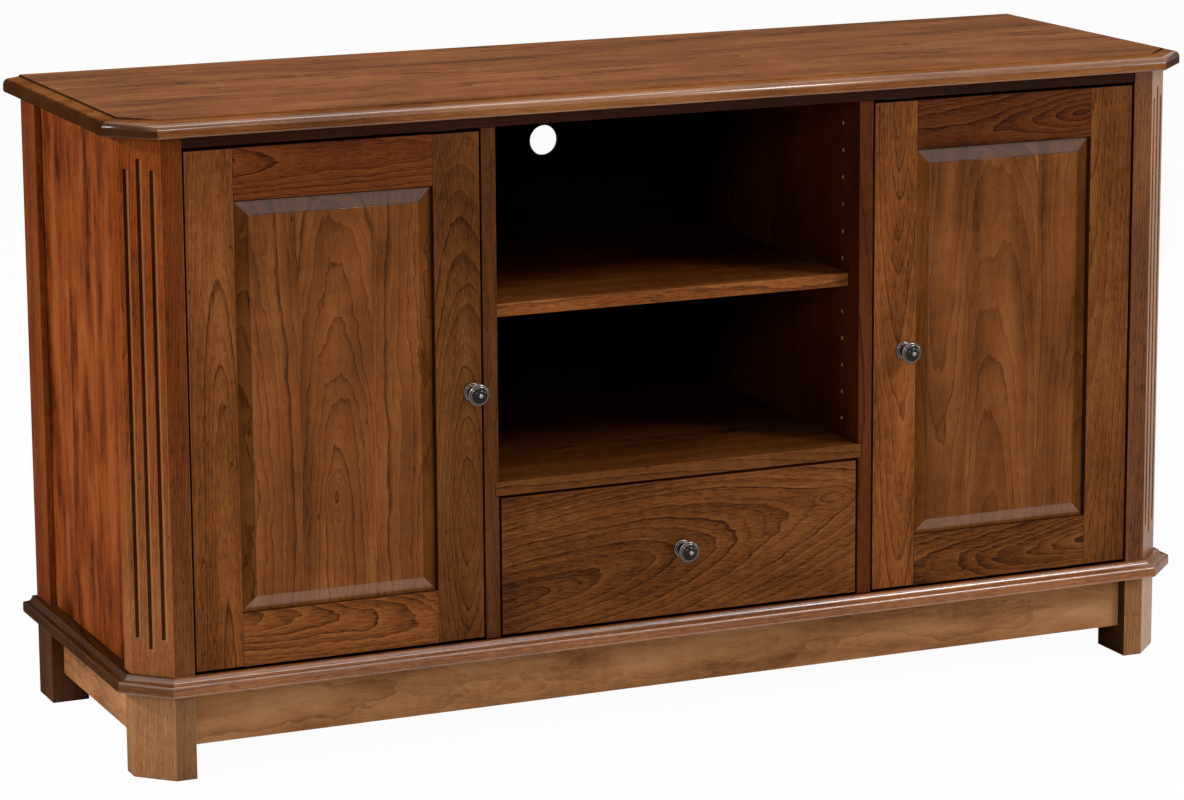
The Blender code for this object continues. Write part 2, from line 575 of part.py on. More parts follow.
# Doors: grooved stiles and rails round a raised panel
knob_shape = KNOB_PROFILE + ((0.0014, KNOB_OUT),)
tongue_front = DOOR_Y + (DOOR_THICK - TONGUE) / 2.0
tongue_back = tongue_front + TONGUE
slot_front = tongue_front - CLEAR
slot_back = tongue_back + CLEAR
slot_deep = TONGUE_LONG + 2.0 * CLEAR
pivot_y = DOOR_Y + PIVOT_BACK
hinge_cuts = []
rail_cuts = []
for side, sign, knob_in in (("left", -1.0, LEFT_KNOB_IN),
                            ("right", 1.0, RIGHT_KNOB_IN)):
    hung = HALF_OPEN - SIDE_GAP
    free = PART_OUT + SIDE_GAP
    pivot_x = sign * (hung - PIVOT_IN)
    pieces = []
    for label, near, far in (("hinge_stile", hung, hung - STILE),
                             ("knob_stile", free, free + STILE)):
        span = sorted((sign * near, sign * far))
        stile = board("%s_door_%s" % (side, label), (span[0], DOOR_Y, DOOR_LOW),
                      (span[1], DOOR_BACK_Y, DOOR_TOP), CHERRY)
        inward = slot_deep if far > near else -slot_deep
        slot = sorted((sign * (far - inward), sign * (far + inward)))
        boolean(stile, boxes("%s_door_%s_groove" % (side, label), [(
            (slot[0], slot_front, DOOR_LOW - BOARD),
            (slot[1], slot_back, DOOR_TOP + BOARD))]))
        if label == "hinge_stile":
            bm = bmesh.new()
            for z in (DOOR_LOW, DOOR_TOP):
                rod_into(bm, (pivot_x, pivot_y, z), PIVOT_PIN + PIVOT_PLAY,
                         2.0 * (PIVOT_LONG + PIVOT_SPARE), "Z", 16)
            bores = "%s_door_pivot_bores" % side
            boolean(stile, add(bores, mesh_of(bores, bm), cutters))
        pieces.append(stile)
    shoulder = sorted((sign * (hung - STILE - CLEAR),
                       sign * (free + STILE + CLEAR)))
    opening = sorted((sign * (hung - STILE), sign * (free + STILE)))
    for label, low, high, lip in (
            ("top_rail", DOOR_TOP - TOP_RAIL_HIGH, DOOR_TOP, -1.0),
            ("bottom_rail", DOOR_LOW, DOOR_LOW + BOTTOM_RAIL_HIGH, 1.0)):
        rail = board("%s_door_%s" % (side, label),
                     (shoulder[0] - TONGUE_LONG, DOOR_Y, low),
                     (shoulder[1] + TONGUE_LONG, DOOR_BACK_Y, high), CHERRY)
        past = 2.0 * TONGUE_LONG
        inner_edge = low if lip < 0.0 else high
        bands = []
        for low_x, high_x in ((shoulder[0] - past, shoulder[0]),
                              (shoulder[1], shoulder[1] + past)):
            bands.append(((low_x, DOOR_Y - BOARD, low - BOARD),
                          (high_x, tongue_front, high + BOARD)))
            bands.append(((low_x, tongue_back, low - BOARD),
                          (high_x, DOOR_BACK_Y + BOARD, high + BOARD)))
        boolean(rail, boxes("%s_door_%s_shoulders" % (side, label), bands))
        boolean(rail, boxes("%s_door_%s_groove" % (side, label), [(
            (shoulder[0] - past, slot_front, inner_edge - slot_deep),
            (shoulder[1] + past, slot_back, inner_edge + slot_deep))]))
        pieces.append(rail)
    panel_low = DOOR_LOW + BOTTOM_RAIL_HIGH - TONGUE_LONG
    panel_high = DOOR_TOP - TOP_RAIL_HIGH + TONGUE_LONG
    panel_left = opening[0] - TONGUE_LONG
    panel_right = opening[1] + TONGUE_LONG
    raised = [(0.0, tongue_back), (0.0, tongue_front),
              (TONGUE_LONG + PANEL_LEDGE, tongue_front),
              (TONGUE_LONG + PANEL_BEVEL, DOOR_Y + FIELD_SINK + FIELD_STEP),
              (TONGUE_LONG + PANEL_BEVEL, DOOR_Y + FIELD_SINK)]
    pieces.append(loft("%s_door_panel" % side, [
        [(panel_left + d, y, panel_low + d), (panel_right - d, y, panel_low + d),
         (panel_right - d, y, panel_high - d), (panel_left + d, y, panel_high - d)]
        for d, y in raised], CHERRY))
    pieces.append(turned(
        "%s_door_knob" % side, knob_shape, 24,
        (sign * (free + knob_in), DOOR_Y - CLEAR,
         (DOOR_LOW + DOOR_TOP) / 2.0 - KNOB_LOW),
        (math.pi / 2.0, 0.0, 0.0), PEWTER))
    ride(carrier("%s_door_axis" % side, (pivot_x, pivot_y, DOOR_LOW)), pieces)

    # Pivot hinges: a leaf let into the rail above and the floor below, each
    # with the pin that the hinge stile is bored for
    leaf = sorted((pivot_x + sign * LEAF_WIDE / 2.0,
                   pivot_x + sign * (LEAF_WIDE / 2.0 - LEAF_LONG)))
    leaf_y = (pivot_y - LEAF_WIDE / 2.0 + CLEAR, pivot_y + LEAF_WIDE / 2.0)
    for label, face, away, gap in (("top", RAIL_LOW, 1.0, TOP_GAP),
                                   ("bottom", FLOOR_TOP, -1.0, BOTTOM_GAP)):
        lift = sorted((face, face + away * LEAF_THICK))
        hinge = board("%s_door_%s_pivot" % (side, label),
                      (leaf[0], leaf_y[0], lift[0]),
                      (leaf[1], leaf_y[1], lift[1]), STEEL)
        stem = [(PIVOT_PIN, 0.0), (PIVOT_PIN, LEAF_THICK / 2.0 + gap + PIVOT_LONG)]
        if label == "bottom":
            collar = LEAF_THICK / 2.0 + gap - CLEAR
            stem = [(2.0 * PIVOT_PIN, 0.0), (2.0 * PIVOT_PIN, collar),
                    (PIVOT_PIN, collar), stem[1]]
        flip = (0.0, 0.0, 0.0) if away < 0.0 else (math.pi, 0.0, 0.0)
        pin = turned("%s_door_%s_pin" % (side, label), stem, 16,
                     (pivot_x, pivot_y, face + away * LEAF_THICK / 2.0),
                     flip, STEEL, cutters)
        pin.hide_render = True
        pin.display_type = "WIRE"
        boolean(hinge, pin, "UNION")
        recess = sorted((face - away * BOARD, face + away * (LEAF_THICK + CLEAR)))
        mortise = ((leaf[0] - CLEAR, leaf_y[0] - CLEAR, recess[0]),
                   (leaf[1] + CLEAR, leaf_y[1] + CLEAR, recess[1]))
        (rail_cuts if away > 0.0 else hinge_cuts).append(mortise)

    # Magnetic catch under the rail, behind the free edge of the door
    hold = sorted((sign * (free + CATCH_IN), sign * (free + CATCH_IN + CATCH_LONG)))
    board("%s_door_catch" % side,
          (hold[0], DOOR_BACK_Y + CLEAR, RAIL_LOW - CLEAR - CATCH_HIGH),
          (hold[1], DOOR_BACK_Y + CLEAR + CATCH_DEEP, RAIL_LOW - CLEAR), MAGNET)

boolean(front_rail, boxes("top_front_rail_mortises", rail_cuts))
boolean(floor, boxes("cabinet_floor_mortises", hinge_cuts))

# Drawer: slab front, two sides grooved for the bottom, and a back
front_half = HALF_BAY - SIDE_GAP
box_half = HALF_BAY - SLIDE_GAP
box_y = DOOR_BACK_Y + CLEAR
box_back = CASE_BACK_Y - DRAWER_BACK_GAP
box_low = FLOOR_TOP + DRAWER_FOOT
box_high = BAY_FLOOR_LOW - DRAWER_HEADROOM
bottom_low = box_low + BOTTOM_RISE
bottom_high = bottom_low + BOTTOM_THICK
inside = box_half - DRAWER_SIDE
drawer = [board("drawer_front", (-front_half, DOOR_Y, DOOR_LOW),
                (front_half, DOOR_BACK_Y, DRAWER_TOP), CHERRY)]
boolean(drawer[0], boxes("drawer_front_groove", [(
    (-inside - BOTTOM_GROOVE, DOOR_BACK_Y - BOTTOM_GROOVE - CLEAR,
     bottom_low - CLEAR),
    (inside + BOTTOM_GROOVE, DOOR_BACK_Y + BOARD, bottom_high + CLEAR))]))
for side, sign in (("left", -1.0), ("right", 1.0)):
    span = sorted((sign * inside, sign * box_half))
    wall = board("drawer_%s_side" % side, (span[0], box_y, box_low),
                 (span[1], box_back, box_high), MAPLE)
    slot = sorted((sign * (inside - BOARD), sign * (inside + BOTTOM_GROOVE + CLEAR)))
    boolean(wall, boxes("drawer_%s_side_groove" % side, [(
        (slot[0], box_y - BOARD, bottom_low - CLEAR),
        (slot[1], box_back + BOARD, bottom_high + CLEAR))]))
    drawer.append(wall)
drawer.append(board(
    "drawer_back", (-inside + CLEAR, box_back - DRAWER_SIDE, bottom_high + CLEAR),
    (inside - CLEAR, box_back, box_high), MAPLE))
drawer.append(board(
    "drawer_bottom",
    (-inside - BOTTOM_GROOVE + CLEAR, DOOR_BACK_Y - BOTTOM_GROOVE, bottom_low),
    (inside + BOTTOM_GROOVE - CLEAR, box_back, bottom_high), MAPLE))
drawer.append(turned(
    "drawer_knob", knob_shape, 24,
    (0.0, DOOR_Y - CLEAR, (DOOR_LOW + DRAWER_TOP) / 2.0 - KNOB_LOW / 2.0),
    (math.pi / 2.0, 0.0, 0.0), PEWTER))

# Slides: an outer channel on each partition, a middle one nested in it, and an
# inner one on the drawer side that runs in the middle one
slide_z = (box_low + box_high) / 2.0
slide_y = (box_y, box_back - SLIDE_BACK_GAP)
middles = []


def channel(name, sign, web, flange, high):
    """A channel whose web stands at one X and whose flanges reach another."""
    lip = math.copysign(SLIDE_WALL, flange - web)
    whole = sorted((sign * web, sign * flange))
    hollow_x = sorted((sign * (web + lip), sign * (flange + 8.0 * lip)))
    made = board(name, (whole[0], slide_y[0], slide_z - high / 2.0),
                 (whole[1], slide_y[1], slide_z + high / 2.0), STEEL)
    inner_half = high / 2.0 - SLIDE_WALL
    return boolean(made, boxes("%s_hollow" % name, [(
        (hollow_x[0], slide_y[0] - BOARD, slide_z - inner_half),
        (hollow_x[1], slide_y[1] + BOARD, slide_z + inner_half))]))


nest = SLIDE_WALL + SLIDE_PLAY
for side, sign in (("left", -1.0), ("right", 1.0)):
    channel("%s_slide_outer" % side, sign, HALF_BAY - CLEAR,
            box_half + 2.0 * nest, SLIDE_HIGH)
    middles.append(channel(
        "%s_slide_middle" % side, sign, HALF_BAY - CLEAR - nest,
        box_half + nest + SLIDE_PLAY, SLIDE_HIGH - 2.0 * nest))
    drawer.append(channel(
        "%s_slide_inner" % side, sign, box_half + CLEAR,
        HALF_BAY - CLEAR - 2.0 * nest, SLIDE_HIGH - 4.0 * nest))

ride(carrier("drawer_axis", (0.0, DOOR_Y, slide_z)), drawer)
ride(carrier("slide_axis", (0.0, slide_y[0], slide_z)), middles)
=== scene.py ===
# %% [markdown]
# # A cherry TV console
# The cabinet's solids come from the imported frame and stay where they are. This
# lesson gives them their looks: eased edges, stained cherry with its growth
# rings, dark turned knobs, plated hardware, and a plain studio.

# %% Load the frame and keep its box
import json
import math
import random

import bmesh
import bpy
from mathutils import Matrix, Vector


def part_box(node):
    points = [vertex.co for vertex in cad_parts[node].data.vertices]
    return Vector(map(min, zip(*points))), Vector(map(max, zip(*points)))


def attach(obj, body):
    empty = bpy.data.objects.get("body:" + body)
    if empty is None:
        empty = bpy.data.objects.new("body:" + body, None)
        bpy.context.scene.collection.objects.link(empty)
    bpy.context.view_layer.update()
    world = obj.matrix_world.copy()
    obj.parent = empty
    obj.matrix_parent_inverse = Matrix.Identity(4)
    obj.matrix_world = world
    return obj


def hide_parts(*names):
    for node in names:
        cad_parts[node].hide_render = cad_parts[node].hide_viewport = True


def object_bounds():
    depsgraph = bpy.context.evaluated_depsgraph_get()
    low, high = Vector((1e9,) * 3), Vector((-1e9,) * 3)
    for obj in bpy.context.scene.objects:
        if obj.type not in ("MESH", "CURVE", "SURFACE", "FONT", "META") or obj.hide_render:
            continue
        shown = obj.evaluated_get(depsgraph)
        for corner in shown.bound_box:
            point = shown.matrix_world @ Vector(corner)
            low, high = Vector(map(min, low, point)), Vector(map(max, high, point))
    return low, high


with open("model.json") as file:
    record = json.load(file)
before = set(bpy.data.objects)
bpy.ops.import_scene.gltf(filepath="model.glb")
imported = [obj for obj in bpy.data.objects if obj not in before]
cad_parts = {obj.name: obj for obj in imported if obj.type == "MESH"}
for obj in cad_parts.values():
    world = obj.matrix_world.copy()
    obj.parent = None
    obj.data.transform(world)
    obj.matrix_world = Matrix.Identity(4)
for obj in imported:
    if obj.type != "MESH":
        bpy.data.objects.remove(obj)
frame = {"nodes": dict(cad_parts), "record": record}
CAD_LOW, CAD_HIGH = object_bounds()
scene = bpy.context.scene
BODY_OF = {node: body for body, nodes in frame["record"]["behaviour"]["bodies"].items()
           for node in nodes}
SLOT_OF = {row["node"]: row["material_slot"] for row in frame["record"]["subparts"]}
print("frame of", len(frame["nodes"]), "nodes, box", CAD_LOW[:], CAD_HIGH[:])

# %% [markdown]
# ## Camera
# The photograph was taken from the left front, a little above the top, with a
# long lens. The camera was solved from measured corners of the console, so it is
# written down here as a place, two angles, a small roll and a focal length.

# %% Camera
IMAGE_WIDE = 1184
CAMERA_AT = Vector((-2.2048, -4.98285, 1.5652))
CAMERA_AZIMUTH = math.radians(-23.569)
CAMERA_ELEVATION = math.radians(11.423)
CAMERA_ROLL = math.radians(-0.362)
FOCAL_PIXELS = 4128.6
SENSOR = 36.0
SHIFT_UP = -0.0507


def add(name, data):
    """A new object in the scene."""
    made = bpy.data.objects.new(name, data)
    scene.collection.objects.link(made)
    return made


def place_camera():
    """A camera at the photograph's station."""
    lens = bpy.data.cameras.new("camera")
    lens.sensor_width = SENSOR
    lens.lens = FOCAL_PIXELS / IMAGE_WIDE * SENSOR
    lens.shift_y = SHIFT_UP
    flat = math.cos(CAMERA_ELEVATION)
    back = Vector((math.sin(CAMERA_AZIMUTH) * flat, -math.cos(CAMERA_AZIMUTH) * flat,
                   math.sin(CAMERA_ELEVATION)))
    right = Vector((math.cos(CAMERA_AZIMUTH), math.sin(CAMERA_AZIMUTH), 0.0))
    turn = Matrix((right, back.cross(right), back)).transposed()
    turn = turn @ Matrix.Rotation(CAMERA_ROLL, 3, "Z")
    scene.camera = add("camera", lens)
    scene.camera.matrix_world = Matrix.Translation(CAMERA_AT) @ turn.to_4x4()


place_camera()
print("camera lens", round(scene.camera.data.lens, 1), "mm")

# %% [markdown]
# ## Node helpers
# Shader trees are built from the same few moves over and over: feed a socket,
# do a sum, stretch a noise. Each helper gives back a wire, which stands for the
# value on a socket. Wires are added and multiplied like numbers, and every sum
# makes a Math node, so the recipes below can be read as formulas.

# %% Wires and sums
class Wire:
    """The value on a node's output, for use in sums."""

    def __init__(self, socket):
        self.socket = socket

    def __add__(self, other):
        return calc("ADD", self, other)

    def __sub__(self, other):
        return calc("SUBTRACT", self, other)

    def __rsub__(self, other):
        return calc("SUBTRACT", other, self)

    def __mul__(self, other):
        return calc("MULTIPLY", self, other)

    def __truediv__(self, other):
        return calc("DIVIDE", self, other)


def new_node(tree, kind, **settings):
    """A node with its settings."""
    made = tree.nodes.new(kind)
    for label, value in settings.items():
        setattr(made, label, value)
    return made


def feed(value, socket):
    """Link a wire or an output to a socket, or set the socket's own value."""
    source = value.socket if isinstance(value, Wire) else value
    if isinstance(source, bpy.types.NodeSocket):
        socket.id_data.links.new(source, socket)
    else:
        socket.default_value = value


def tree_of(*values):
    """The node tree of the first wire among some values."""
    return next(value.socket.id_data for value in values if isinstance(value, Wire))


def calc(operation, *values, clamp=False):
    """One Math node."""
    made = new_node(tree_of(*values), "ShaderNodeMath", operation=operation, use_clamp=clamp)
    for value, socket in zip(values, made.inputs):
        feed(value, socket)
    return Wire(made.outputs[0])


print("wires can be summed")

# %% Vectors, steps, colours and noise
def vector_calc(operation, *values):
    """One Vector Math node; a dot product comes out as a value."""
    made = new_node(tree_of(*values), "ShaderNodeVectorMath", operation=operation)
    for value, socket in zip(values, made.inputs):
        feed(value, socket)
    return Wire(made.outputs["Value" if operation == "DOT_PRODUCT" else "Vector"])


def scaled(vector, scale):
    """A vector or a colour times a value."""
    made = new_node(tree_of(scale), "ShaderNodeVectorMath", operation="SCALE")
    feed(vector, made.inputs[0])
    feed(scale, made.inputs["Scale"])
    return Wire(made.outputs["Vector"])


def split(value, kind="ShaderNodeSeparateXYZ"):
    """The three parts of a vector or a colour."""
    made = new_node(tree_of(value), kind)
    feed(value, made.inputs[0])
    return [Wire(socket) for socket in made.outputs]


def remap(value, low, high, to_low=0.0, to_high=1.0):
    """A smooth step from one range to another."""
    made = new_node(tree_of(value), "ShaderNodeMapRange", interpolation_type="SMOOTHSTEP")
    for given, socket in zip((value, low, high, to_low, to_high), made.inputs):
        feed(given, socket)
    return Wire(made.outputs[0])


def mix(share, one, two):
    """Mix two colours."""
    made = new_node(tree_of(share), "ShaderNodeMix", data_type="RGBA", clamp_factor=True)
    for value, place in zip((share, one, two), (0, 6, 7)):
        feed(value, made.inputs[place])
    return Wire(made.outputs[2])


def noise(vector, stretch, detail=2.0, rough=0.5):
    """Noise with its own stretch along each axis, from 0 to 1."""
    made = new_node(tree_of(vector), "ShaderNodeTexNoise")
    made.inputs["Scale"].default_value = 1.0
    made.inputs["Detail"].default_value = detail
    made.inputs["Roughness"].default_value = rough
    feed(vector_calc("MULTIPLY", vector, stretch), made.inputs["Vector"])
    return Wire(made.outputs[0])


def centred(vector, stretch, detail=2.0, rough=0.5):
    """Noise about zero."""
    return noise(vector, stretch, detail, rough) - 0.5


def chance_at(value):
    """Outputs of a number and a colour drawn by chance for each value."""
    made = new_node(tree_of(value), "ShaderNodeTexWhiteNoise", noise_dimensions="1D")
    feed(value, made.inputs["W"])
    return made.outputs


print("vectors, colours and noise ready")

# %% Groups and materials
VALUE, COLOUR, VECTOR = "NodeSocketFloat", "NodeSocketColor", "NodeSocketVector"


def new_group(name, inputs, outputs):
    """A shader group; an input is given by its kind of socket or, if a value, by its default."""
    group = bpy.data.node_groups.new(name, "ShaderNodeTree")
    for label, given in inputs.items():
        kind = given if isinstance(given, str) else VALUE
        socket = group.interface.new_socket(label, in_out="INPUT", socket_type=kind)
        if kind == VALUE:
            socket.default_value = given
    for label, kind in outputs.items():
        group.interface.new_socket(label, in_out="OUTPUT", socket_type=kind)
    enter = {socket.name: Wire(socket) for socket in new_node(group, "NodeGroupInput").outputs}
    return group, enter, new_node(group, "NodeGroupOutput").inputs


def new_paint(name):
    """A material with its node tree and its shader."""
    made = bpy.data.materials.new(name)
    made.use_nodes = True
    return made, made.node_tree, made.node_tree.nodes["Principled BSDF"]


def emboss(shader, height, strength, distance):
    """Raise a surface by a height that varies over it."""
    bump = new_node(shader.id_data, "ShaderNodeBump")
    bump.inputs["Strength"].default_value = strength
    bump.inputs["Distance"].default_value = distance
    feed(height, bump.inputs["Height"])
    feed(bump.outputs[0], shader.inputs["Normal"])


print("groups and materials ready")

# %% [markdown]
# ## The figure of cherry
# A board shows a slice through a log's growth rings. Where the saw ran along the
# log but not quite parallel to it, the rings come out as tall arches. So the
# group measures each point's distance from the log's heart, which leans, drifts
# and wavers along the board, and draws a thin dark line at the end of each ring.
# A wide panel is glued up from several boards, so each strip of the board width
# has a heart of its own. Because the rings are solid, the figure runs on round
# every edge as it does in real timber.

# %% Growth rings
# How often noise comes in a metre along, across and through the board
WAVER_ACROSS, WAVER_DEEP = (1.8, 5.0, 5.0), (3.0, 8.0, 8.0)
JAG_COARSE, JAG_FINE = (15.0, 40.0, 40.0), (60.0, 130.0, 130.0)
LINE_BREAKS = (35.0, 240.0, 240.0)
COARSE_SHARE, FINE_SHARE = 1.5, 0.45
TURN_OVER = 1.7
EYE_LONG = 2.4
PACE_STEP, PACE_SWAY = 0.43, 1.5
LATE_START, LATE_FULL = 0.74, 0.96
FINE_START, FINE_PER_RING = 0.70, 3.0
FAINTEST, THINNEST = 0.22, 0.45


def ring_radius(enter, spot, other, along, strip, chance):
    """Distance from the leaning, drifting, wavering heart of the log."""
    length, across, deep = along
    odd = calc("MINIMUM", calc("ABSOLUTE", strip), 1.0)
    aside = across - strip * enter["Board Width"] - enter["Heart Across"]
    aside = aside - length * enter["Heart Drift"]
    aside = aside + (chance[0] - 0.5) * odd * enter["Board Width"]
    aside = aside + centred(spot, WAVER_ACROSS, 1.0) * enter["Waver"]
    turned = 1.0 - chance[1] * odd * TURN_OVER
    depth = enter["Lean"] * turned * length + length * length * enter["Bow"]
    depth = depth + enter["Heart Depth"] + deep
    depth = depth + centred(other, WAVER_DEEP, 1.0) * enter["Waver"]
    jag = centred(spot, JAG_FINE) * FINE_SHARE + centred(spot, JAG_COARSE) * COARSE_SHARE
    return calc("SQRT", aside * aside + depth * depth) + jag * enter["Jag"] * enter["Ring Width"]


def eye_pull(enter, along):
    """A place where the rings close into a drop, as round a healed twig."""
    length = (along[0] - enter["Eye Along"]) / (enter["Eye Size"] * EYE_LONG)
    width = (along[1] - enter["Eye Across"]) / enter["Eye Size"]
    far = length * length + width * width
    return calc("POWER", math.e, far * -1.0) * enter["Eye Pull"]


def ring_lines(enter, turns, other):
    """Thin late-wood lines of uneven strength, and where in its ring a point is."""
    pace = new_node(tree_of(turns), "ShaderNodeTexNoise", noise_dimensions="1D")
    pace.inputs["Scale"].default_value = 1.0
    pace.inputs["Detail"].default_value = 1.0
    feed(turns * PACE_STEP + enter["Seed"], pace.inputs["W"])
    turns = Wire(pace.outputs[0]) * PACE_SWAY + turns
    part = calc("FRACT", turns)
    season = chance_at(calc("FLOOR", turns) + enter["Seed"])
    weight = remap(Wire(season["Value"]), 0.10, 0.90, FAINTEST, 1.0)
    late = remap(part, LATE_START, LATE_FULL) * remap(part, LATE_FULL, 1.0, 1.0, 0.0)
    fine = remap(calc("FRACT", turns * FINE_PER_RING), FINE_START, 1.0) * enter["Fine Lines"]
    breaks = remap(noise(other, LINE_BREAKS), 0.32, 0.58, THINNEST, 1.0)
    return calc("MAXIMUM", late * weight, fine) * breaks, part


print("growth rings can be drawn")

# %% [markdown]
# ## Tone and flecks
# Between its rings cherry is never even. Soft mottling, long streaks, a flicker
# across the grain, fine fibres, pores and a few gum flecks go on top of the rings,
# each a noise stretched along the board to its own scale.

# %% Cherry figure group
STRIP_STEP, STRIP_SHIFT, OTHER_SHIFT = 3.7, (3.7, 5.3, 7.9), (11.3, 4.1, 8.7)
PORES, FIBRES = (95.0, 800.0, 800.0), (55.0, 480.0, 480.0)
MOTTLING, STREAKS, FLICKER = (5.0, 17.0, 17.0), (1.8, 45.0, 45.0), (70.0, 16.0, 16.0)
FLECK_CELLS, FLECK_CORE, FLECK_RIM = (26.0, 60.0, 60.0), 0.07, 0.14
TONE_LEAST, TONE_CHANCE = 0.47, 0.10
STREAK_SHARE, FLICKER_SHARE, PORE_SHARE = 0.50, 0.20, 0.30
PORE_DEPTH, LINE_DEPTH = 0.7, 0.3
COLOUR_PARTS = "ShaderNodeSeparateColor"


def make_figure_group():
    """Tone, lines and grain height of cherry, with X along the grain."""
    group, enter, leave = new_group("cherry_figure", {
        "Vector": VECTOR, "Seed": 0.0, "Board Width": 9.0, "Heart Across": 0.0, "Heart Drift": 0.0,
        "Heart Depth": 0.05, "Lean": 0.06, "Bow": 0.0, "Ring Width": 0.005, "Waver": 0.03,
        "Eye Along": 0.0, "Eye Across": 0.0, "Eye Size": 0.02, "Eye Pull": 0.0, "Flecks": 0.97,
        "Mottle": 1.0, "Fibre": 0.75, "Jag": 1.0, "Fade": 0.0, "Fine Lines": 0.22, "Ring Shade": 0.16,
    }, {"Tone": VALUE, "Lines": VALUE, "Grain": VALUE})
    along = split(enter["Vector"])
    strip = calc("ROUND", along[1] / enter["Board Width"])
    place = strip * STRIP_STEP + enter["Seed"]
    spot = vector_calc("ADD", enter["Vector"], scaled(STRIP_SHIFT, place))
    other = vector_calc("ADD", spot, OTHER_SHIFT)
    chance = split(Wire(chance_at(place)["Color"]), COLOUR_PARTS)
    radius = ring_radius(enter, spot, other, along, strip, chance) + eye_pull(enter, along)
    lines, part = ring_lines(enter, radius / enter["Ring Width"], other)
    pore = remap(noise(other, PORES, 1.0), 0.58, 0.70)
    fibre = centred(spot, FIBRES, 3.0, 0.65)
    tone = chance[2] * TONE_CHANCE + TONE_LEAST + along[0] * enter["Fade"]
    tone = tone + centred(spot, MOTTLING, 3.0, 0.55) * enter["Mottle"]
    tone = tone + centred(other, STREAKS) * STREAK_SHARE + centred(spot, FLICKER) * FLICKER_SHARE
    tone = tone + fibre * enter["Fibre"] + (0.5 - part) * enter["Ring Shade"]
    feed(calc("SUBTRACT", tone, pore * enter["Fibre"] * PORE_SHARE, clamp=True), leave["Tone"])
    cells = new_node(group, "ShaderNodeTexVoronoi")
    cells.inputs["Scale"].default_value = 1.0
    feed(vector_calc("MULTIPLY", spot, FLECK_CELLS), cells.inputs["Vector"])
    pick = split(Wire(cells.outputs["Color"]), COLOUR_PARTS)[0]
    fleck = remap(Wire(cells.outputs["Distance"]), FLECK_CORE, FLECK_RIM, 1.0, 0.0)
    fleck = fleck * calc("GREATER_THAN", pick, enter["Flecks"])
    feed(calc("MAXIMUM", lines, fleck), leave["Lines"])
    feed(fibre - pore * PORE_DEPTH - lines * LINE_DEPTH, leave["Grain"])
    return group


FIGURE = make_figure_group()
print("figure group with", len(FIGURE.nodes), "nodes")

# %% [markdown]
# ## The stain
# The finish is a brown-red stain under thin satin lacquer. It sinks deepest into
# end grain, so board ends turn dark. A dark glaze in hollows is painted shade,
# and lighter rubbed arrises are wear and painted highlight. The inside of the case
# is stained nearly black, with painted shade deeper in the bay, and bare wood shows
# in the bored holes and as painted light on the lit parts of the flutes and on the
# right post's clipped face. This group turns the figure into colour. Each stain has
# its colours for dark, middle and light wood, which are the group's inputs.

# %% Stain group
END_BROWN = (0.030, 0.0100, 0.0040, 1.0)
# The glaze colour is painted shade in hollows, along frames and on unlit faces
SHADE_GLAZE_BROWN = (0.012, 0.0036, 0.0014, 1.0)
# The inside brown is dark stain and painted shade in the case
INSIDE_SHADE_BROWN = (0.018, 0.0023, 0.0006, 1.0)
# Bare wood in the holes, also used as painted light on lit flute walls and the right post's clipped
# face
BARE_AND_LIT_WOOD = (0.400, 0.195, 0.080, 1.0)
RUB_AND_HIGHLIGHT_SHARE, END_SHARE, SHADE_GLAZE_SHARE, INSIDE_SHADE_SHARE = 0.45, 0.85, 0.85, 0.96
DARK_WOOD, LIGHT_WOOD, DARK_ROUGH, LIGHT_ROUGH = 0.2, 0.8, 0.46, 0.36
INSIDE_ROUGH, INSIDE_DULL = 0.25, 0.95


def make_stain_group():
    """Colour, roughness and gloss of stained cherry from its tone and lines, with painted shade and
    light from the marks.
    """
    group, enter, leave = new_group("cherry_stain", {
        "Tone": 0.5, "Lines": 0.0, "Deep": COLOUR, "Middle": COLOUR, "Light": COLOUR,
        "Line Strength": 0.85, "Depth": 1.0, "End Grain": 0.0, "Inside": 0.0, "Worn And Highlight": 0.0,
        "Shade Glaze": 0.0, "Bare And Lit": 0.0,
    }, {"Colour": COLOUR, "Roughness": VALUE, "Gloss": VALUE})
    half = enter["Tone"] * 2.0
    colour = mix(half, enter["Deep"], enter["Middle"])
    colour = mix(half - 1.0, colour, enter["Light"])
    colour = mix(enter["Lines"] * enter["Line Strength"], colour, enter["Deep"])
    # Worn faces: rubbed stain and painted highlight
    colour = mix(enter["Worn And Highlight"] * RUB_AND_HIGHLIGHT_SHARE, colour, enter["Light"])
    colour = mix(enter["End Grain"] * END_SHARE, colour, END_BROWN)
    # Depth of colour (on some boards also painted shade), then the glaze as painted shade
    colour = mix(enter["Shade Glaze"] * SHADE_GLAZE_SHARE, scaled(colour, enter["Depth"]), SHADE_GLAZE_BROWN)
    # Inside: painted shade that darkens the bay towards the back
    colour = mix(enter["Inside"] * INSIDE_SHADE_SHARE, colour, INSIDE_SHADE_BROWN)
    # Bare wood, and painted light where the marks ask for it
    feed(mix(enter["Bare And Lit"], colour, BARE_AND_LIT_WOOD), leave["Colour"])
    satin = remap(enter["Tone"], DARK_WOOD, LIGHT_WOOD, DARK_ROUGH, LIGHT_ROUGH)
    feed(satin + enter["Inside"] * INSIDE_ROUGH, leave["Roughness"])
    feed(1.0 - enter["Inside"] * INSIDE_DULL, leave["Gloss"])
    return group


STAIN = make_stain_group()
FRONT_STAIN = ((0.040, 0.0105, 0.0025, 1.0), (0.180, 0.0540, 0.0115, 1.0), (0.310, 0.110, 0.028, 1.0))
SIDE_STAIN = ((0.055, 0.0100, 0.0025, 1.0), (0.215, 0.0480, 0.0090, 1.0), (0.320, 0.086, 0.019, 1.0))
TOP_STAIN = ((0.080, 0.0240, 0.0070, 1.0), (0.225, 0.0740, 0.0190, 1.0), (0.330, 0.128, 0.040, 1.0))
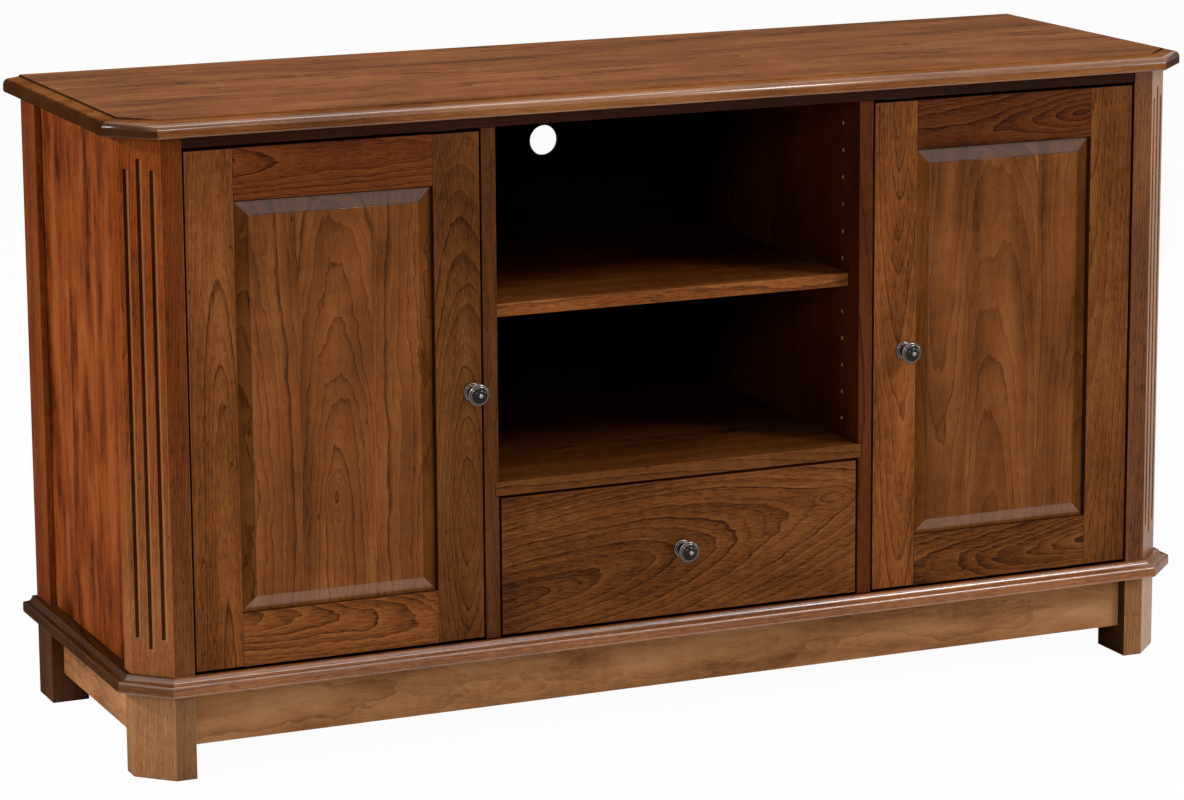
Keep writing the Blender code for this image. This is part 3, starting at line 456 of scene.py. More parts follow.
# The base stain is lighter and yellower, partly painted light bounced from the floor
LIT_BASE_STAIN = ((0.140, 0.0520, 0.0170, 1.0), (0.330, 0.1430, 0.0520, 1.0), (0.450, 0.230, 0.100, 1.0))
BACK_FOOT_STAIN = ((0.045, 0.0150, 0.0055, 1.0), (0.110, 0.0400, 0.0160, 1.0),
                   (0.170, 0.070, 0.030, 1.0))
# Nearly black inside stain, which also paints the shade in the case
INSIDE_STAIN_AND_SHADE = ((0.0015, 0.0005, 0.0002, 1.0), (0.0040, 0.0012, 0.0005, 1.0),
                (0.0075, 0.0024, 0.0010, 1.0))
BACK_STAIN = ((0.110, 0.0450, 0.0160, 1.0), (0.230, 0.1050, 0.0420, 1.0), (0.320, 0.165, 0.075, 1.0))
PALE_STAIN = ((0.330, 0.190, 0.085, 1.0), (0.560, 0.390, 0.215, 1.0), (0.680, 0.520, 0.330, 1.0))
print("stain group with", len(STAIN.nodes), "nodes")

# %% [markdown]
# ## One board, one cut of timber
# Every board is its own cut, so every board gets its own place in the log. The
# grain runs along the board's longest side and its face is across its thinnest,
# which a Mapping node turns into the figure group's own axes. The posts take on
# another stain at their feet, which on the front posts is lighter and partly painted
# light from the floor, and plywood turns to a thin brown behind.

# %% How a board lies, and where its stain changes
AXES = (Vector((1.0, 0.0, 0.0)), Vector((0.0, 1.0, 0.0)), Vector((0.0, 0.0, 1.0)))
DIAGONAL = {"left_corner_moulding": Vector((1.0, -1.0, 0.0)).normalized(),
            "right_corner_moulding": Vector((1.0, 1.0, 0.0)).normalized()}
BASE_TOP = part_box("front_apron")[1].z
BASE_FADE, CREEP_TOP = 0.03, 0.62
# Stain of a post's foot (on the front posts lighter, partly painted light from the floor), how much of
# it creeps up, lacquer on flat faces and on slopes
FOOTED = {"front_left_post": (LIT_BASE_STAIN, 0.40, 0.20, 0.20),
          "front_right_post": (LIT_BASE_STAIN, 0.0, 0.10, 0.65),
          "back_left_post": (BACK_FOOT_STAIN, 0.0, 0.02, 0.02),
          "back_right_post": (BACK_FOOT_STAIN, 0.0, 0.02, 0.02)}
BACK_START, BACK_FULL = 0.5, 0.9


def lay_of(node):
    """Middle, grain direction and face direction of a board."""
    low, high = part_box(node)
    sides = sorted(range(3), key=lambda i: round(high[i] - low[i], 4))
    grain = DIAGONAL.get(node, AXES[sides[2]])
    face = AXES[2] if node in DIAGONAL else AXES[sides[0]]
    return (low + high) / 2.0, grain, face


def fade_to_foot(stain, foot_stain, creep, height):
    """Stain colours that turn to the foot's own near the floor, and may creep up the post; on the front
    posts the lighter foot stain is partly painted light from the floor.
    """
    share = remap(height, BASE_TOP, BASE_TOP + BASE_FADE, 1.0, creep)
    share = share * remap(height, BASE_TOP, CREEP_TOP, 1.0, 0.0)
    return [mix(share, above, below) for above, below in zip(stain, foot_stain)]


def fade_to_back(stain, normal):
    """Stain colours that turn to a thin brown on faces that look backwards."""
    share = remap(vector_calc("DOT_PRODUCT", normal, AXES[1]), BACK_START, BACK_FULL)
    return [mix(share, inner, outer) for inner, outer in zip(stain, BACK_STAIN)]


print("base stain up to", round(BASE_TOP, 3), "m")

# %% [markdown]
# ## Lacquer
# The lacquer is a coat over the stain. It is dull on flat faces, and it shines
# where a cutter has left a slope or a round. Faces that the mesh marks as dull get
# none. Marks such as this one are values on the mesh's faces, which an Attribute
# node reads.

# %% Cherry for one board
DOOR_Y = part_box("left_door_knob_stile")[0].y
NOTES = ("worn_and_highlight", "shade_glaze", "bare_and_lit_wood", "dull")
WORN_AND_HIGHLIGHT, SHADE_GLAZE, BARE_AND_LIT, DULL = NOTES
LACQUER_IOR, LACQUER_ROUGH = 1.5, 0.22
COAT_IOR = {"top_panel": 1.6, "left_door_panel": 2.0, "right_door_panel": 2.0,
            "front_moulding": 1.9, "left_corner_moulding": 1.9, "right_corner_moulding": 1.9}
END_START, END_FULL, END_MATT = 0.12, 0.62, 0.8
SIDE_END, SLOPE_START, SLOPE_STOP, FACE_START = 0.02, 0.20, 0.955, 0.995
GRAIN_STRENGTH, GRAIN_HEIGHT = 0.22, 0.0003


def note(tree, name):
    """A value that the mesh carries on its faces."""
    return Wire(new_node(tree, "ShaderNodeAttribute", attribute_name=name).outputs["Fac"])


def cut_from_log(tree, place, lay, cut):
    """The figure of one board, turned to lie along it."""
    middle, grain, face = lay
    turn = new_node(tree, "ShaderNodeMapping", vector_type="TEXTURE")
    feed(place, turn.inputs["Vector"])
    turn.inputs["Location"].default_value = middle
    basis = Matrix((grain, face.cross(grain), face)).transposed()
    turn.inputs["Rotation"].default_value = basis.to_euler()
    figure = new_node(tree, "ShaderNodeGroup", node_tree=FIGURE)
    feed(turn.outputs[0], figure.inputs["Vector"])
    for label, value in cut.items():
        figure.inputs[label].default_value = value
    return figure.outputs


def lacquer(node, flat, ends, height, gloss, slope_gloss):
    """Weight of the coat: one on flat faces, another on slopes, and others on a post's foot."""
    slope = remap(flat, SIDE_END, SLOPE_START) * remap(flat, SLOPE_STOP, FACE_START, 1.0, 0.0)
    slope = slope * (1.0 - ends * END_MATT)
    shine = slope * (slope_gloss - gloss) + gloss
    if node in FOOTED:
        foot_gloss, foot_slope_gloss = FOOTED[node][2:]
        low_shine = slope * (foot_slope_gloss - foot_gloss) + foot_gloss
        above = remap(height, BASE_TOP, BASE_TOP + BASE_FADE)
        shine = above * (shine - low_shine) + low_shine
    return shine * (1.0 - note(tree_of(flat), DULL))


def cherry(node, stain, cut, inside=None, gloss=0.04, slope_gloss=0.04, depth=1.0, lines=0.90):
    """Stained cherry for one board, cut from its own place in the log."""
    made, tree, shader = new_paint("cherry_" + node)
    surface = new_node(tree, "ShaderNodeTexCoord").outputs
    place, normal = Wire(surface["Object"]), Wire(surface["Normal"])
    lay = lay_of(node)
    figure = cut_from_log(tree, place, lay, cut)
    inward, height = split(place)[1:]
    if node in FOOTED:
        stain = fade_to_foot(stain, *FOOTED[node][:2], height)
    elif SLOT_OF[node] == "inside_wood":
        stain = fade_to_back(stain, normal)
    ends, flat = (calc("ABSOLUTE", vector_calc("DOT_PRODUCT", normal, way)) for way in lay[1:])
    ends = remap(ends, END_START, END_FULL)
    values = {"Tone": figure["Tone"], "Lines": figure["Lines"], "Line Strength": lines, "Depth": depth,
              "Deep": stain[0], "Middle": stain[1], "Light": stain[2], "End Grain": ends,
              "Worn And Highlight": note(tree, WORN_AND_HIGHLIGHT), "Shade Glaze": note(tree, SHADE_GLAZE), "Bare And Lit": note(tree, BARE_AND_LIT)}
    # Painted shade inside the bay: darker towards the back and on the boards' faces
    if inside:
        share, start, stop = inside
        values["Inside"] = calc("MAXIMUM", remap(inward, DOOR_Y + start, DOOR_Y + stop), flat * share)
    finish = new_node(tree, "ShaderNodeGroup", node_tree=STAIN)
    for label, value in values.items():
        feed(value, finish.inputs[label])
    feed(finish.outputs["Colour"], shader.inputs["Base Color"])
    feed(finish.outputs["Roughness"], shader.inputs["Roughness"])
    emboss(shader, figure["Grain"], GRAIN_STRENGTH, GRAIN_HEIGHT)
    shine = lacquer(node, flat, ends, height, gloss, slope_gloss)
    feed(shine * finish.outputs["Gloss"], shader.inputs["Coat Weight"])
    shader.inputs["Coat Roughness"].default_value = LACQUER_ROUGH
    shader.inputs["Coat IOR"].default_value = COAT_IOR.get(node, LACQUER_IOR)
    shader.inputs["Specular IOR Level"].default_value = 0.0
    return made


print("cherry boards can be stained and lacquered")

# %% [markdown]
# ## Finished pieces
# A finished mesh stands for its solid: it replaces the solid's node, rides with
# the same body and takes the same finish. Runs of narrow faces are shaded smooth,
# and wide faces keep their sharp edges.

# %% Show a finished mesh
SOFT = math.radians(46.0)
NARROW = 0.004


def width_of(face):
    """About how wide a long face is."""
    return face.calc_area() / max(edge.calc_length() for edge in face.edges)


def shade(bm):
    """Smooth shading over runs of narrow faces, sharp edges elsewhere."""
    bm.normal_update()
    widths = {face: width_of(face) for face in bm.faces}
    for face in bm.faces:
        face.smooth = True
    for edge in bm.edges:
        pair = edge.link_faces
        edge.smooth = (len(pair) == 2 and edge.calc_face_angle() < SOFT
                       and max(widths[pair[0]], widths[pair[1]]) < NARROW)


def mesh_of(name, bm):
    """A bmesh made a mesh."""
    mesh = bpy.data.meshes.new(name)
    bm.to_mesh(mesh)
    bm.free()
    return mesh


def show(name, bm, paint, node):
    """Turn a bmesh into a piece that stands for a node and rides with its body."""
    made = add(name, mesh_of(name, bm))
    made.data.materials.append(paint)
    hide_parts(node)
    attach(made, BODY_OF[node])
    return made


print("finished meshes can be shown")

# %% [markdown]
# ## Painted shade and light
# Stain is wiped on and rubbed off by hand, so real stain stays in hollows and goes
# from what stands out, and shade and light are painted on top of that. Each function
# below looks at where a face is and which way it looks, and notes on it how much
# dark glaze and painted shade, rubbing and painted highlight, bare wood and painted
# light, or dullness it has.

# %% Marks on the posts and partitions
MERGE = 0.00001
# Painted shade on a post's front, painted sheen as pale wood on its clipped face, how strongly the lit
# walls of its flutes are painted light
FLUTED = {"front_left_post": (0.55, 0.0, 1.0), "front_right_post": (0.35, 0.30, 0.0)}
CLIP_LEAST = 0.4
FLUTE_INSET, FLUTE_LEAST, FLUTE_MOST, LIT_WALL = 0.004, 0.0002, 0.008, -0.10
# Painted light on the lit wall of a flute, and a painted glint at its low end
LIT_WALL_HIGHLIGHT, LIT_WALL_PALE, FLUTE_END_GLINT, FACES_UP = 2.0, 0.40, 0.75, 0.25
FACES_FRONT, FACES_IN = -0.99, -0.6
# The rear holes show less bare wood, as painted shade deeper in the bay
HOLE_LONG, REAR_HOLE_PALE, EDGE_GLAZE = 0.0108, 0.10, 0.58


def shade_and_light_flutes(bm, notes, front, clip_sheen, lit_wall_light):
    """Painted shade on the unlit wall of each flute, painted light on the lit wall and a painted glint
    on the low end; painted sheen on the clipped face and painted shade on the post's front and inner
    side.
    """
    clip = max((face for face in bm.faces if abs(face.normal.x * face.normal.y) > CLIP_LEAST),
               key=lambda face: face.calc_area())
    out, start = clip.normal.copy(), clip.calc_center_median()
    sideways = Vector((-out.y, out.x, 0.0))
    reach = max(abs((vert.co - start).dot(sideways)) for vert in clip.verts) - FLUTE_INSET
    for face in bm.faces:
        offset = face.calc_center_median() - start
        sunk = -offset.dot(out)
        if sunk < FLUTE_LEAST:
            # painted sheen on the clipped face, as pale wood
            face[notes[BARE_AND_LIT]] = clip_sheen
        elif sunk < FLUTE_MOST and abs(offset.dot(sideways)) < reach:
            # painted shade on the unlit wall, painted light on the lit wall
            lit = float(face.normal.dot(sideways) < LIT_WALL)
            face[notes[DULL]] = 1.0
            face[notes[SHADE_GLAZE]] = 1.0 - lit
            face[notes[WORN_AND_HIGHLIGHT]] = LIT_WALL_HIGHLIGHT * lit_wall_light * lit
            face[notes[BARE_AND_LIT]] = LIT_WALL_PALE * lit_wall_light * lit
            # painted glint on the flute's low end
            if face.normal.z > FACES_UP:
                face[notes[SHADE_GLAZE]] = 0.0
                face[notes[BARE_AND_LIT]] = FLUTE_END_GLINT
        # painted shade on the post's front
        elif face.normal.y < FACES_FRONT:
            face[notes[SHADE_GLAZE]] = front
        else:
            face[notes[DULL]] = 1.0
            # painted shade on the post's inner side
            face[notes[SHADE_GLAZE]] = float(face.normal.x * out.x < FACES_IN)


def mark_partition(bm, notes):
    """A partition's front edge is darker; the front holes show bare wood, and the rear holes less, as
    painted shade deeper in the bay.
    """
    for face in bm.faces:
        if max(edge.calc_length() for edge in face.edges) < HOLE_LONG:
            # bare wood in the holes, with painted shade on the rear ones
            face[notes[BARE_AND_LIT]] = 1.0 if face.calc_center_median().y < 0.0 else REAR_HOLE_PALE
        elif face.normal.y < FACES_FRONT:
            face[notes[SHADE_GLAZE]] = EDGE_GLAZE


print("fluted posts:", len(FLUTED))

# %% Marks on the doors and the top
# Painted shade on the left and the right bevel of a raised panel
SIDE_BEVEL_SHADES = {"left_door_panel": (0.48, 0.42), "right_door_panel": (0.12, 0.50)}
BEVEL_LEAST, BEVEL_MOST = 0.12, 0.80
# Painted shade on the upward bevel, so that its reflection reads grey, and a painted glint on the
# downward one
TOP_BEVEL_SHADE, LOW_BEVEL_GLINT = 0.60, 0.7
# Width of the painted shadow line inside the frame
SHADOW_LINE = 0.0022
FRAMES = ("hinge_stile", "knob_stile", "door_top_rail", "door_bottom_rail")
# Painted shade on frame edges
FRAME_EDGE, FRAME_EDGE_SHADE = 0.5, 0.85
# Painted shadow in the top's cove and a painted highlight on its nose
TOP_COVE, COVE_SHADE, NOSE_HIGHLIGHT = 0.0027, 0.35, 0.3


def cut_shadow_lines(bm, door):
    """Cut a panel just inside its frame's opening for a painted shadow line; returns the lines it was
    cut at.
    """
    left, right = sorted((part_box(door + "_hinge_stile"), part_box(door + "_knob_stile")),
                         key=lambda box: box[0].x)
    lines = (left[1].x + SHADOW_LINE, right[0].x - SHADOW_LINE,
             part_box(door + "_top_rail")[0].z - SHADOW_LINE)
    for place, axis in zip(lines, (AXES[0], AXES[0], AXES[2])):
        bmesh.ops.bisect_plane(bm, geom=bm.verts[:] + bm.edges[:] + bm.faces[:], dist=MERGE,
                               plane_co=axis * place, plane_no=axis)
    bmesh.ops.dissolve_degenerate(bm, edges=bm.edges[:], dist=MERGE)
    bm.normal_update()
    return lines


def shade_and_light_bevels(bm, notes, door, left_shade, right_shade):
    """Painted shadow along the frame, painted shade on three bevels of a panel, and a painted glint on
    the low one.
    """
    left, right, top = cut_shadow_lines(bm, door)
    for face in bm.faces:
        middle = face.calc_center_median()
        # painted shadow of the frame in a strip round the opening
        if middle.x < left or middle.x > right or middle.z > top:
            face[notes[SHADE_GLAZE]] = face[notes[DULL]] = 1.0
        # painted shade on the side bevels
        elif BEVEL_LEAST < abs(face.normal.x) < BEVEL_MOST:
            face[notes[SHADE_GLAZE]] = left_shade if face.normal.x < 0.0 else right_shade
            face[notes[DULL]] = 1.0
        # painted shade on the upward bevel, painted glint on the downward one
        elif BEVEL_LEAST < abs(face.normal.z) < BEVEL_MOST:
            on_top = face.normal.z > 0.0
            face[notes[SHADE_GLAZE]] = TOP_BEVEL_SHADE * float(on_top)
            face[notes[WORN_AND_HIGHLIGHT]] = LOW_BEVEL_GLINT * float(not on_top)


def shade_frame_edges(bm, notes):
    """Painted shade on the edges of stiles and rails, round the panel and in the gaps."""
    for face in bm.faces:
        if abs(face.normal.y) < FRAME_EDGE:
            # painted shade on the edges
            face[notes[SHADE_GLAZE]] = FRAME_EDGE_SHADE


def shade_cove_and_light_nose(bm, notes):
    """Painted shadow in the top's small cove and a painted highlight on its front nose; the ends stay
    dull.
    """
    for face in bm.faces:
        height = face.calc_center_median().z
        if CAD_HIGH.z - TOP_COVE < height < CAD_HIGH.z - MERGE and width_of(face) < NARROW:
            # painted shadow in the cove
            face[notes[SHADE_GLAZE]] = COVE_SHADE * (1.0 + min(face.normal.y, 0.0))
            face[notes[DULL]] = 1.0
        elif face.normal.y < -BEVEL_LEAST and face.normal.z > BEVEL_LEAST:
            # painted highlight on the nose
            face[notes[WORN_AND_HIGHLIGHT]] = NOSE_HIGHLIGHT
        elif abs(face.normal.x) > BEVEL_LEAST and face.normal.y > -BEVEL_LEAST:
            face[notes[DULL]] = 1.0


print("raised panels:", len(SIDE_BEVEL_SHADES))

# %% [markdown]
# ## Eased edges
# A real board has no knife edge: the maker takes every arris off with sandpaper.
# The solids have sharp edges, so a copy of each is merged, its long edges are
# bevelled by less than a millimetre, and the narrow new faces are marked, so
# that they are painted lighter there, as rubbed stain and painted highlight.
# Then the marks above go on.

# %% Dress a solid
SHARP = math.radians(32.0)
FLAT = math.radians(0.4)
SHORTEST_ARRIS = 0.006


def ease(bm, notes, arris, steps):
    """Bevel the long sharp edges and mark the new faces as rubbed and painted highlight."""
    edges = [edge for edge in bm.edges
             if len(edge.link_faces) == 2 and edge.calc_face_angle() > SHARP
             and edge.calc_length() > SHORTEST_ARRIS]
    made = bmesh.ops.bevel(bm, geom=edges, offset=arris, offset_type="OFFSET", segments=steps,
                           profile=0.5, affect="EDGES", clamp_overlap=True)
    for face in made["faces"]:
        # rubbed stain and painted highlight on the eased arrises
        face[notes[WORN_AND_HIGHLIGHT]] = 1.0
    bm.normal_update()


def dress(node, paint, arris, steps=2):
    """A finished copy of a node's solid, with its long edges eased."""
    bm = bmesh.new()
    bm.from_mesh(frame["nodes"][node].data)
    bmesh.ops.remove_doubles(bm, verts=bm.verts, dist=MERGE)
    bmesh.ops.dissolve_limit(bm, angle_limit=FLAT, verts=bm.verts, edges=bm.edges)
    for name in NOTES:
        bm.faces.layers.float.new(name)
    notes = {name: bm.faces.layers.float[name] for name in NOTES}
    ease(bm, notes, arris, steps)
    if node in FLUTED:
        shade_and_light_flutes(bm, notes, *FLUTED[node])
    elif node in SIDE_BEVEL_SHADES:
        shade_and_light_bevels(bm, notes, node.removesuffix("_panel"), *SIDE_BEVEL_SHADES[node])
    elif node.endswith(FRAMES):
        shade_frame_edges(bm, notes)
    elif node == "top_panel":
        shade_cove_and_light_nose(bm, notes)
    elif node.endswith("partition"):
        mark_partition(bm, notes)
    shade(bm)
    return show(node + "_finished", bm, paint, node)


print("solids can be dressed")

# %% [markdown]
# ## The cuts
# Doors, drawer, posts, panels, mouldings and shelf are all the same cherry. The
# arches on the two door panels and the drawer front are what the eye goes to, so
# their cuts are chosen to match: arches that point up in the middle board of each
# glued-up panel, and a wide sweep from the lower left corner of the drawer. The
# cuts of lesser boards are left to chance, with a fixed seed.

# %% Cuts of the boards
CHANCE_SEED = 1715
CUTS = {
    "left_door_panel": {"Seed": 4.0, "Board Width": 0.098, "Heart Depth": 0.040, "Lean": 0.13,
                        "Bow": 0.05, "Ring Width": 0.0090, "Waver": 0.045, "Eye Along": -0.125,
                        "Eye Across": -0.004, "Eye Size": 0.012, "Eye Pull": -0.028,
                        "Flecks": 0.92, "Fibre": 0.40, "Mottle": 1.2, "Fade": -0.25},
    "right_door_panel": {"Seed": 21.0, "Board Width": 0.105, "Heart Across": -0.01,
                         "Heart Depth": 0.045, "Lean": 0.10, "Bow": -0.05, "Ring Width": 0.0092,
                         "Waver": 0.045, "Fibre": 0.45, "Mottle": 1.4, "Jag": 0.6},
    "drawer_front": {"Seed": 9.0, "Heart Across": 0.002, "Heart Drift": -0.17,
                     "Heart Depth": 0.056, "Lean": 0.20, "Bow": 0.05, "Ring Width": 0.0105,
                     "Eye Along": 0.225, "Eye Across": -0.045, "Eye Size": 0.012,
                     "Eye Pull": -0.022, "Fibre": 1.2, "Jag": 0.40, "Fade": 0.60,
                     "Fine Lines": 0.50, "Ring Shade": 0.28},
    "top_panel": {"Seed": 2.0, "Board Width": 0.110, "Heart Depth": 0.060, "Lean": 0.010,
                  "Ring Width": 0.0070, "Waver": 0.040, "Flecks": 0.99, "Mottle": 1.6},
    "left_door_hinge_stile": {"Seed": 13.0, "Heart Across": 0.01, "Heart Depth": 0.03,
                              "Lean": 0.045, "Waver": 0.02, "Flecks": 0.6, "Jag": 0.5, "Fibre": 1.0},
    "left_door_knob_stile": {"Seed": 27.0, "Heart Across": 0.008, "Heart Depth": 0.035,
                             "Lean": 0.15, "Ring Width": 0.0058, "Waver": 0.015, "Jag": 0.5,
                             "Fibre": 1.0},
    "left_door_top_rail": {"Seed": 71.0, "Heart Across": -0.020, "Heart Depth": 0.045,
                           "Lean": 0.03, "Ring Width": 0.0055, "Waver": 0.035, "Jag": 0.6,
                           "Flecks": 0.95, "Fibre": 1.2, "Fine Lines": 0.35, "Ring Shade": 0.40},
    "right_door_top_rail": {"Seed": 31.0, "Heart Across": 0.010, "Heart Drift": -0.10,
                            "Heart Depth": 0.031, "Lean": -0.118, "Bow": -0.67,
                            "Ring Width": 0.0075, "Waver": 0.020, "Jag": 0.8, "Fibre": 1.2,
                            "Fine Lines": 0.35, "Ring Shade": 0.60},
    "left_door_bottom_rail": {"Seed": 52.0, "Heart Across": -0.012, "Heart Drift": 0.12,
                              "Heart Depth": 0.040, "Lean": 0.13, "Ring Width": 0.0060,
                              "Fibre": 1.1, "Fine Lines": 0.30, "Ring Shade": 0.45},
    "right_door_bottom_rail": {"Seed": 36.0, "Heart Across": 0.010, "Heart Drift": -0.10,
                               "Heart Depth": 0.038, "Lean": -0.12, "Ring Width": 0.0060,
                               "Fibre": 1.1, "Fine Lines": 0.30, "Ring Shade": 0.45},
    "left_side_panel": {"Seed": 17.0, "Board Width": 0.120, "Heart Depth": 0.09, "Lean": 0.03,
                        "Ring Width": 0.0075, "Waver": 0.04, "Flecks": 0.9, "Mottle": 3.0},
    "right_side_panel": {"Seed": 43.0, "Board Width": 0.120, "Heart Depth": 0.08, "Lean": 0.04,
                         "Ring Width": 0.0075, "Waver": 0.04, "Flecks": 0.9, "Mottle": 3.0},
    "front_apron": {"Seed": 61.0, "Heart Depth": 0.09, "Lean": 0.02, "Ring Width": 0.0080,
                    "Flecks": 0.99, "Fibre": 0.55, "Mottle": 1.8, "Fade": -0.15},
    "left_apron": {"Seed": 66.0, "Heart Depth": 0.09, "Lean": 0.02, "Ring Width": 0.0080,
                   "Flecks": 0.99, "Fibre": 0.55, "Mottle": 1.5, "Fade": -2.2},
}
draw = random.Random(CHANCE_SEED)


def any_cut():
    """A place in the log for a board whose figure is left to chance."""
    return {"Seed": draw.uniform(0.0, 60.0), "Heart Across": draw.uniform(-0.07, 0.07),
            "Heart Depth": draw.uniform(0.04, 0.08), "Lean": draw.uniform(-0.05, 0.05),
            "Ring Width": draw.uniform(0.0036, 0.0055), "Waver": draw.uniform(0.010, 0.022),
            "Jag": 0.45, "Flecks": 0.96, "Fibre": 1.0}


print("chosen cuts:", len(CUTS))

# %% [markdown]
# ## The boards
# No two boards take the stain alike, so each has its own stain, depth of colour,
# lacquer and strength of ring lines where it differs from the plain ones. The depth
# of colour also paints the shadow of the top on the rails under it and painted shade
# in the bay, where boards are darkened towards the back.

# %% Stain and dress the boards
STAINS = {"top_panel": TOP_STAIN, "left_side_panel": SIDE_STAIN, "right_side_panel": SIDE_STAIN,
          "back_left_post": SIDE_STAIN, "back_right_post": SIDE_STAIN,
          "front_left_post": SIDE_STAIN, "left_door_top_rail": SIDE_STAIN,
          "right_door_top_rail": SIDE_STAIN, "top_front_rail": SIDE_STAIN,
          "right_partition": SIDE_STAIN, "front_apron": LIT_BASE_STAIN, "left_apron": LIT_BASE_STAIN,
          "right_apron": LIT_BASE_STAIN}
# Depth of colour; on the rails under the top and the boards in the bay it is also painted shade
DEPTHS_AND_SHADE = {"left_door_top_rail": 0.58, "right_door_top_rail": 0.40, "left_door_knob_stile": 0.63,
          "drawer_front": 0.78, "right_door_bottom_rail": 0.80, "front_left_post": 1.12,
          "front_right_post": 1.10, "bay_floor": 0.60, "left_partition": 0.80,
          "right_partition": 0.72, "centre_shelf": 1.20, "top_front_rail": 0.14,
          "right_door_panel": 0.86, "right_door_hinge_stile": 0.80, "back_left_post": 0.88,
          "right_door_knob_stile": 1.12, "left_apron": 1.40, "left_side_panel": 1.04,
          "left_moulding": 0.33, "left_corner_moulding": 0.75, "front_moulding": 1.28,
          "top_panel": 0.91}
# Lacquer on flat faces and on slopes
GLOSS = {"top_panel": (0.05, 1.0), "left_door_panel": (0.04, 1.0), "right_door_panel": (0.04, 1.0),
         "front_right_post": (0.32, 0.55), "front_apron": (0.06, 0.06), "left_apron": (0.06, 0.06),
         "left_side_panel": (0.02, 0.02), "right_side_panel": (0.02, 0.02),
         "back_left_post": (0.02, 0.02), "front_left_post": (0.03, 0.03),
         "front_moulding": (0.30, 1.0), "left_corner_moulding": (0.15, 1.0),
         "right_corner_moulding": (0.50, 0.35), "left_moulding": (0.03, 0.10)}
PLAIN_GLOSS, PLAIN_LINES = (0.08, 0.08), 0.80
# Painted shade with dark stain in the bay: how much on the faces, and how far behind the doors' front
# it starts and is full
BAY_SHADE = {"left_partition": (0.80, 0.0, 0.12), "right_partition": (0.72, 0.06, 0.46),
              "centre_shelf": (0.0, 0.02, 0.25), "bay_floor": (0.10, 0.0, 0.32)}
LINES = {"left_side_panel": 0.55, "right_side_panel": 0.55, "right_door_panel": 0.60,
         "drawer_front": 1.0, "left_door_top_rail": 1.0, "right_door_top_rail": 1.0,
         "left_door_bottom_rail": 1.0, "right_door_bottom_rail": 1.0, "left_door_knob_stile": 1.0,
         "front_apron": 0.35, "left_apron": 0.35, "front_left_post": 0.60, "front_right_post": 0.60}
FINE_ARRIS = ("top_panel", "front_moulding", "left_door_panel", "right_door_panel")
ARRIS, SMALL_ARRIS = 0.0007, 0.0003
boards = [node for node, slot in SLOT_OF.items() if slot in ("cherry", "cherry_top")]
for node in boards:
    cut = CUTS.get(node) or any_cut()
    paint = cherry(node, STAINS.get(node, FRONT_STAIN), cut, BAY_SHADE.get(node),
                   *GLOSS.get(node, PLAIN_GLOSS), DEPTHS_AND_SHADE.get(node, 1.0), LINES.get(node, PLAIN_LINES))
    dress(node, paint, SMALL_ARRIS if node in FINE_ARRIS else ARRIS)
print("cherry boards:", len(boards))

# %% [markdown]
# ## Inside boards and drawer box
# The back, the case floor and the back rail are plywood, stained nearly black inside,
# which also paints the shade in the case, and left a thin brown behind. The drawer
# box is pale clear-lacquered hardwood.
# Both use the same figure with other stains, which is what real makers do too.

# %% Inside boards and drawer box
for node, slot in SLOT_OF.items():
    if slot == "inside_wood":
        dress(node, cherry(node, INSIDE_STAIN_AND_SHADE, any_cut(), gloss=0.0, lines=0.4), SMALL_ARRIS)
    elif slot == "drawer_wood":
        dress(node, cherry(node, PALE_STAIN, any_cut(), gloss=0.20, lines=0.35), ARRIS)
print("inside boards and drawer box done")

# %% [markdown]
# ## Metal and plastic
# The knobs are cast and plated, then darkened and rubbed back, so that edges and
# rings shine and hollows stay black. Slides and pins are zinc-plated steel with
# fine draw lines, and the door pivots are blacked so that they don't show in the
# gaps. The catches are brown moulded plastic.

# %% Metal and plastic
CLOUDS, CLOUD_SHARE, RUB_BRIGHT = (120.0, 120.0, 120.0), 0.06, 0.9
METAL_STRENGTH, METAL_HEIGHT = 0.10, 0.0002
GRIT = (2500.0, 2500.0, 2500.0)
GRIT_STRENGTH, GRIT_HEIGHT, GRIT_SMOOTH, GRIT_ROUGH = 0.15, 0.0001, 0.42, 0.58
NOISE_LOW, NOISE_HIGH = 0.3, 0.7
STEEL_ARRIS, CATCH_ARRIS = 0.0002, 0.0008


def metal(name, dark, bright, rough_low, rough_high, draw_stretch):
    """A metal whose colour and polish vary over the surface."""
    made, tree, shader = new_paint(name)
    place = Wire(new_node(tree, "ShaderNodeTexCoord").outputs["Object"])
    lines = noise(place, draw_stretch, 2.0, 0.6)
    share = calc("ADD", note(tree, WORN_AND_HIGHLIGHT) * RUB_BRIGHT, noise(place, CLOUDS) * CLOUD_SHARE, clamp=True)
    feed(mix(share, dark, bright), shader.inputs["Base Color"])
    feed(remap(lines, NOISE_LOW, NOISE_HIGH, rough_low, rough_high), shader.inputs["Roughness"])
    emboss(shader, lines, METAL_STRENGTH, METAL_HEIGHT)
    shader.inputs["Metallic"].default_value = 1.0
    return made


def plastic(name, dark, light):
    """Moulded plastic with a fine spark-eroded texture."""
    made, tree, shader = new_paint(name)
    grit = noise(Wire(new_node(tree, "ShaderNodeTexCoord").outputs["Object"]), GRIT, 2.0, 0.6)
    feed(mix(grit, dark, light), shader.inputs["Base Color"])
    feed(remap(grit, NOISE_LOW, NOISE_HIGH, GRIT_SMOOTH, GRIT_ROUGH), shader.inputs["Roughness"])
    emboss(shader, grit, GRIT_STRENGTH, GRIT_HEIGHT)
    return made


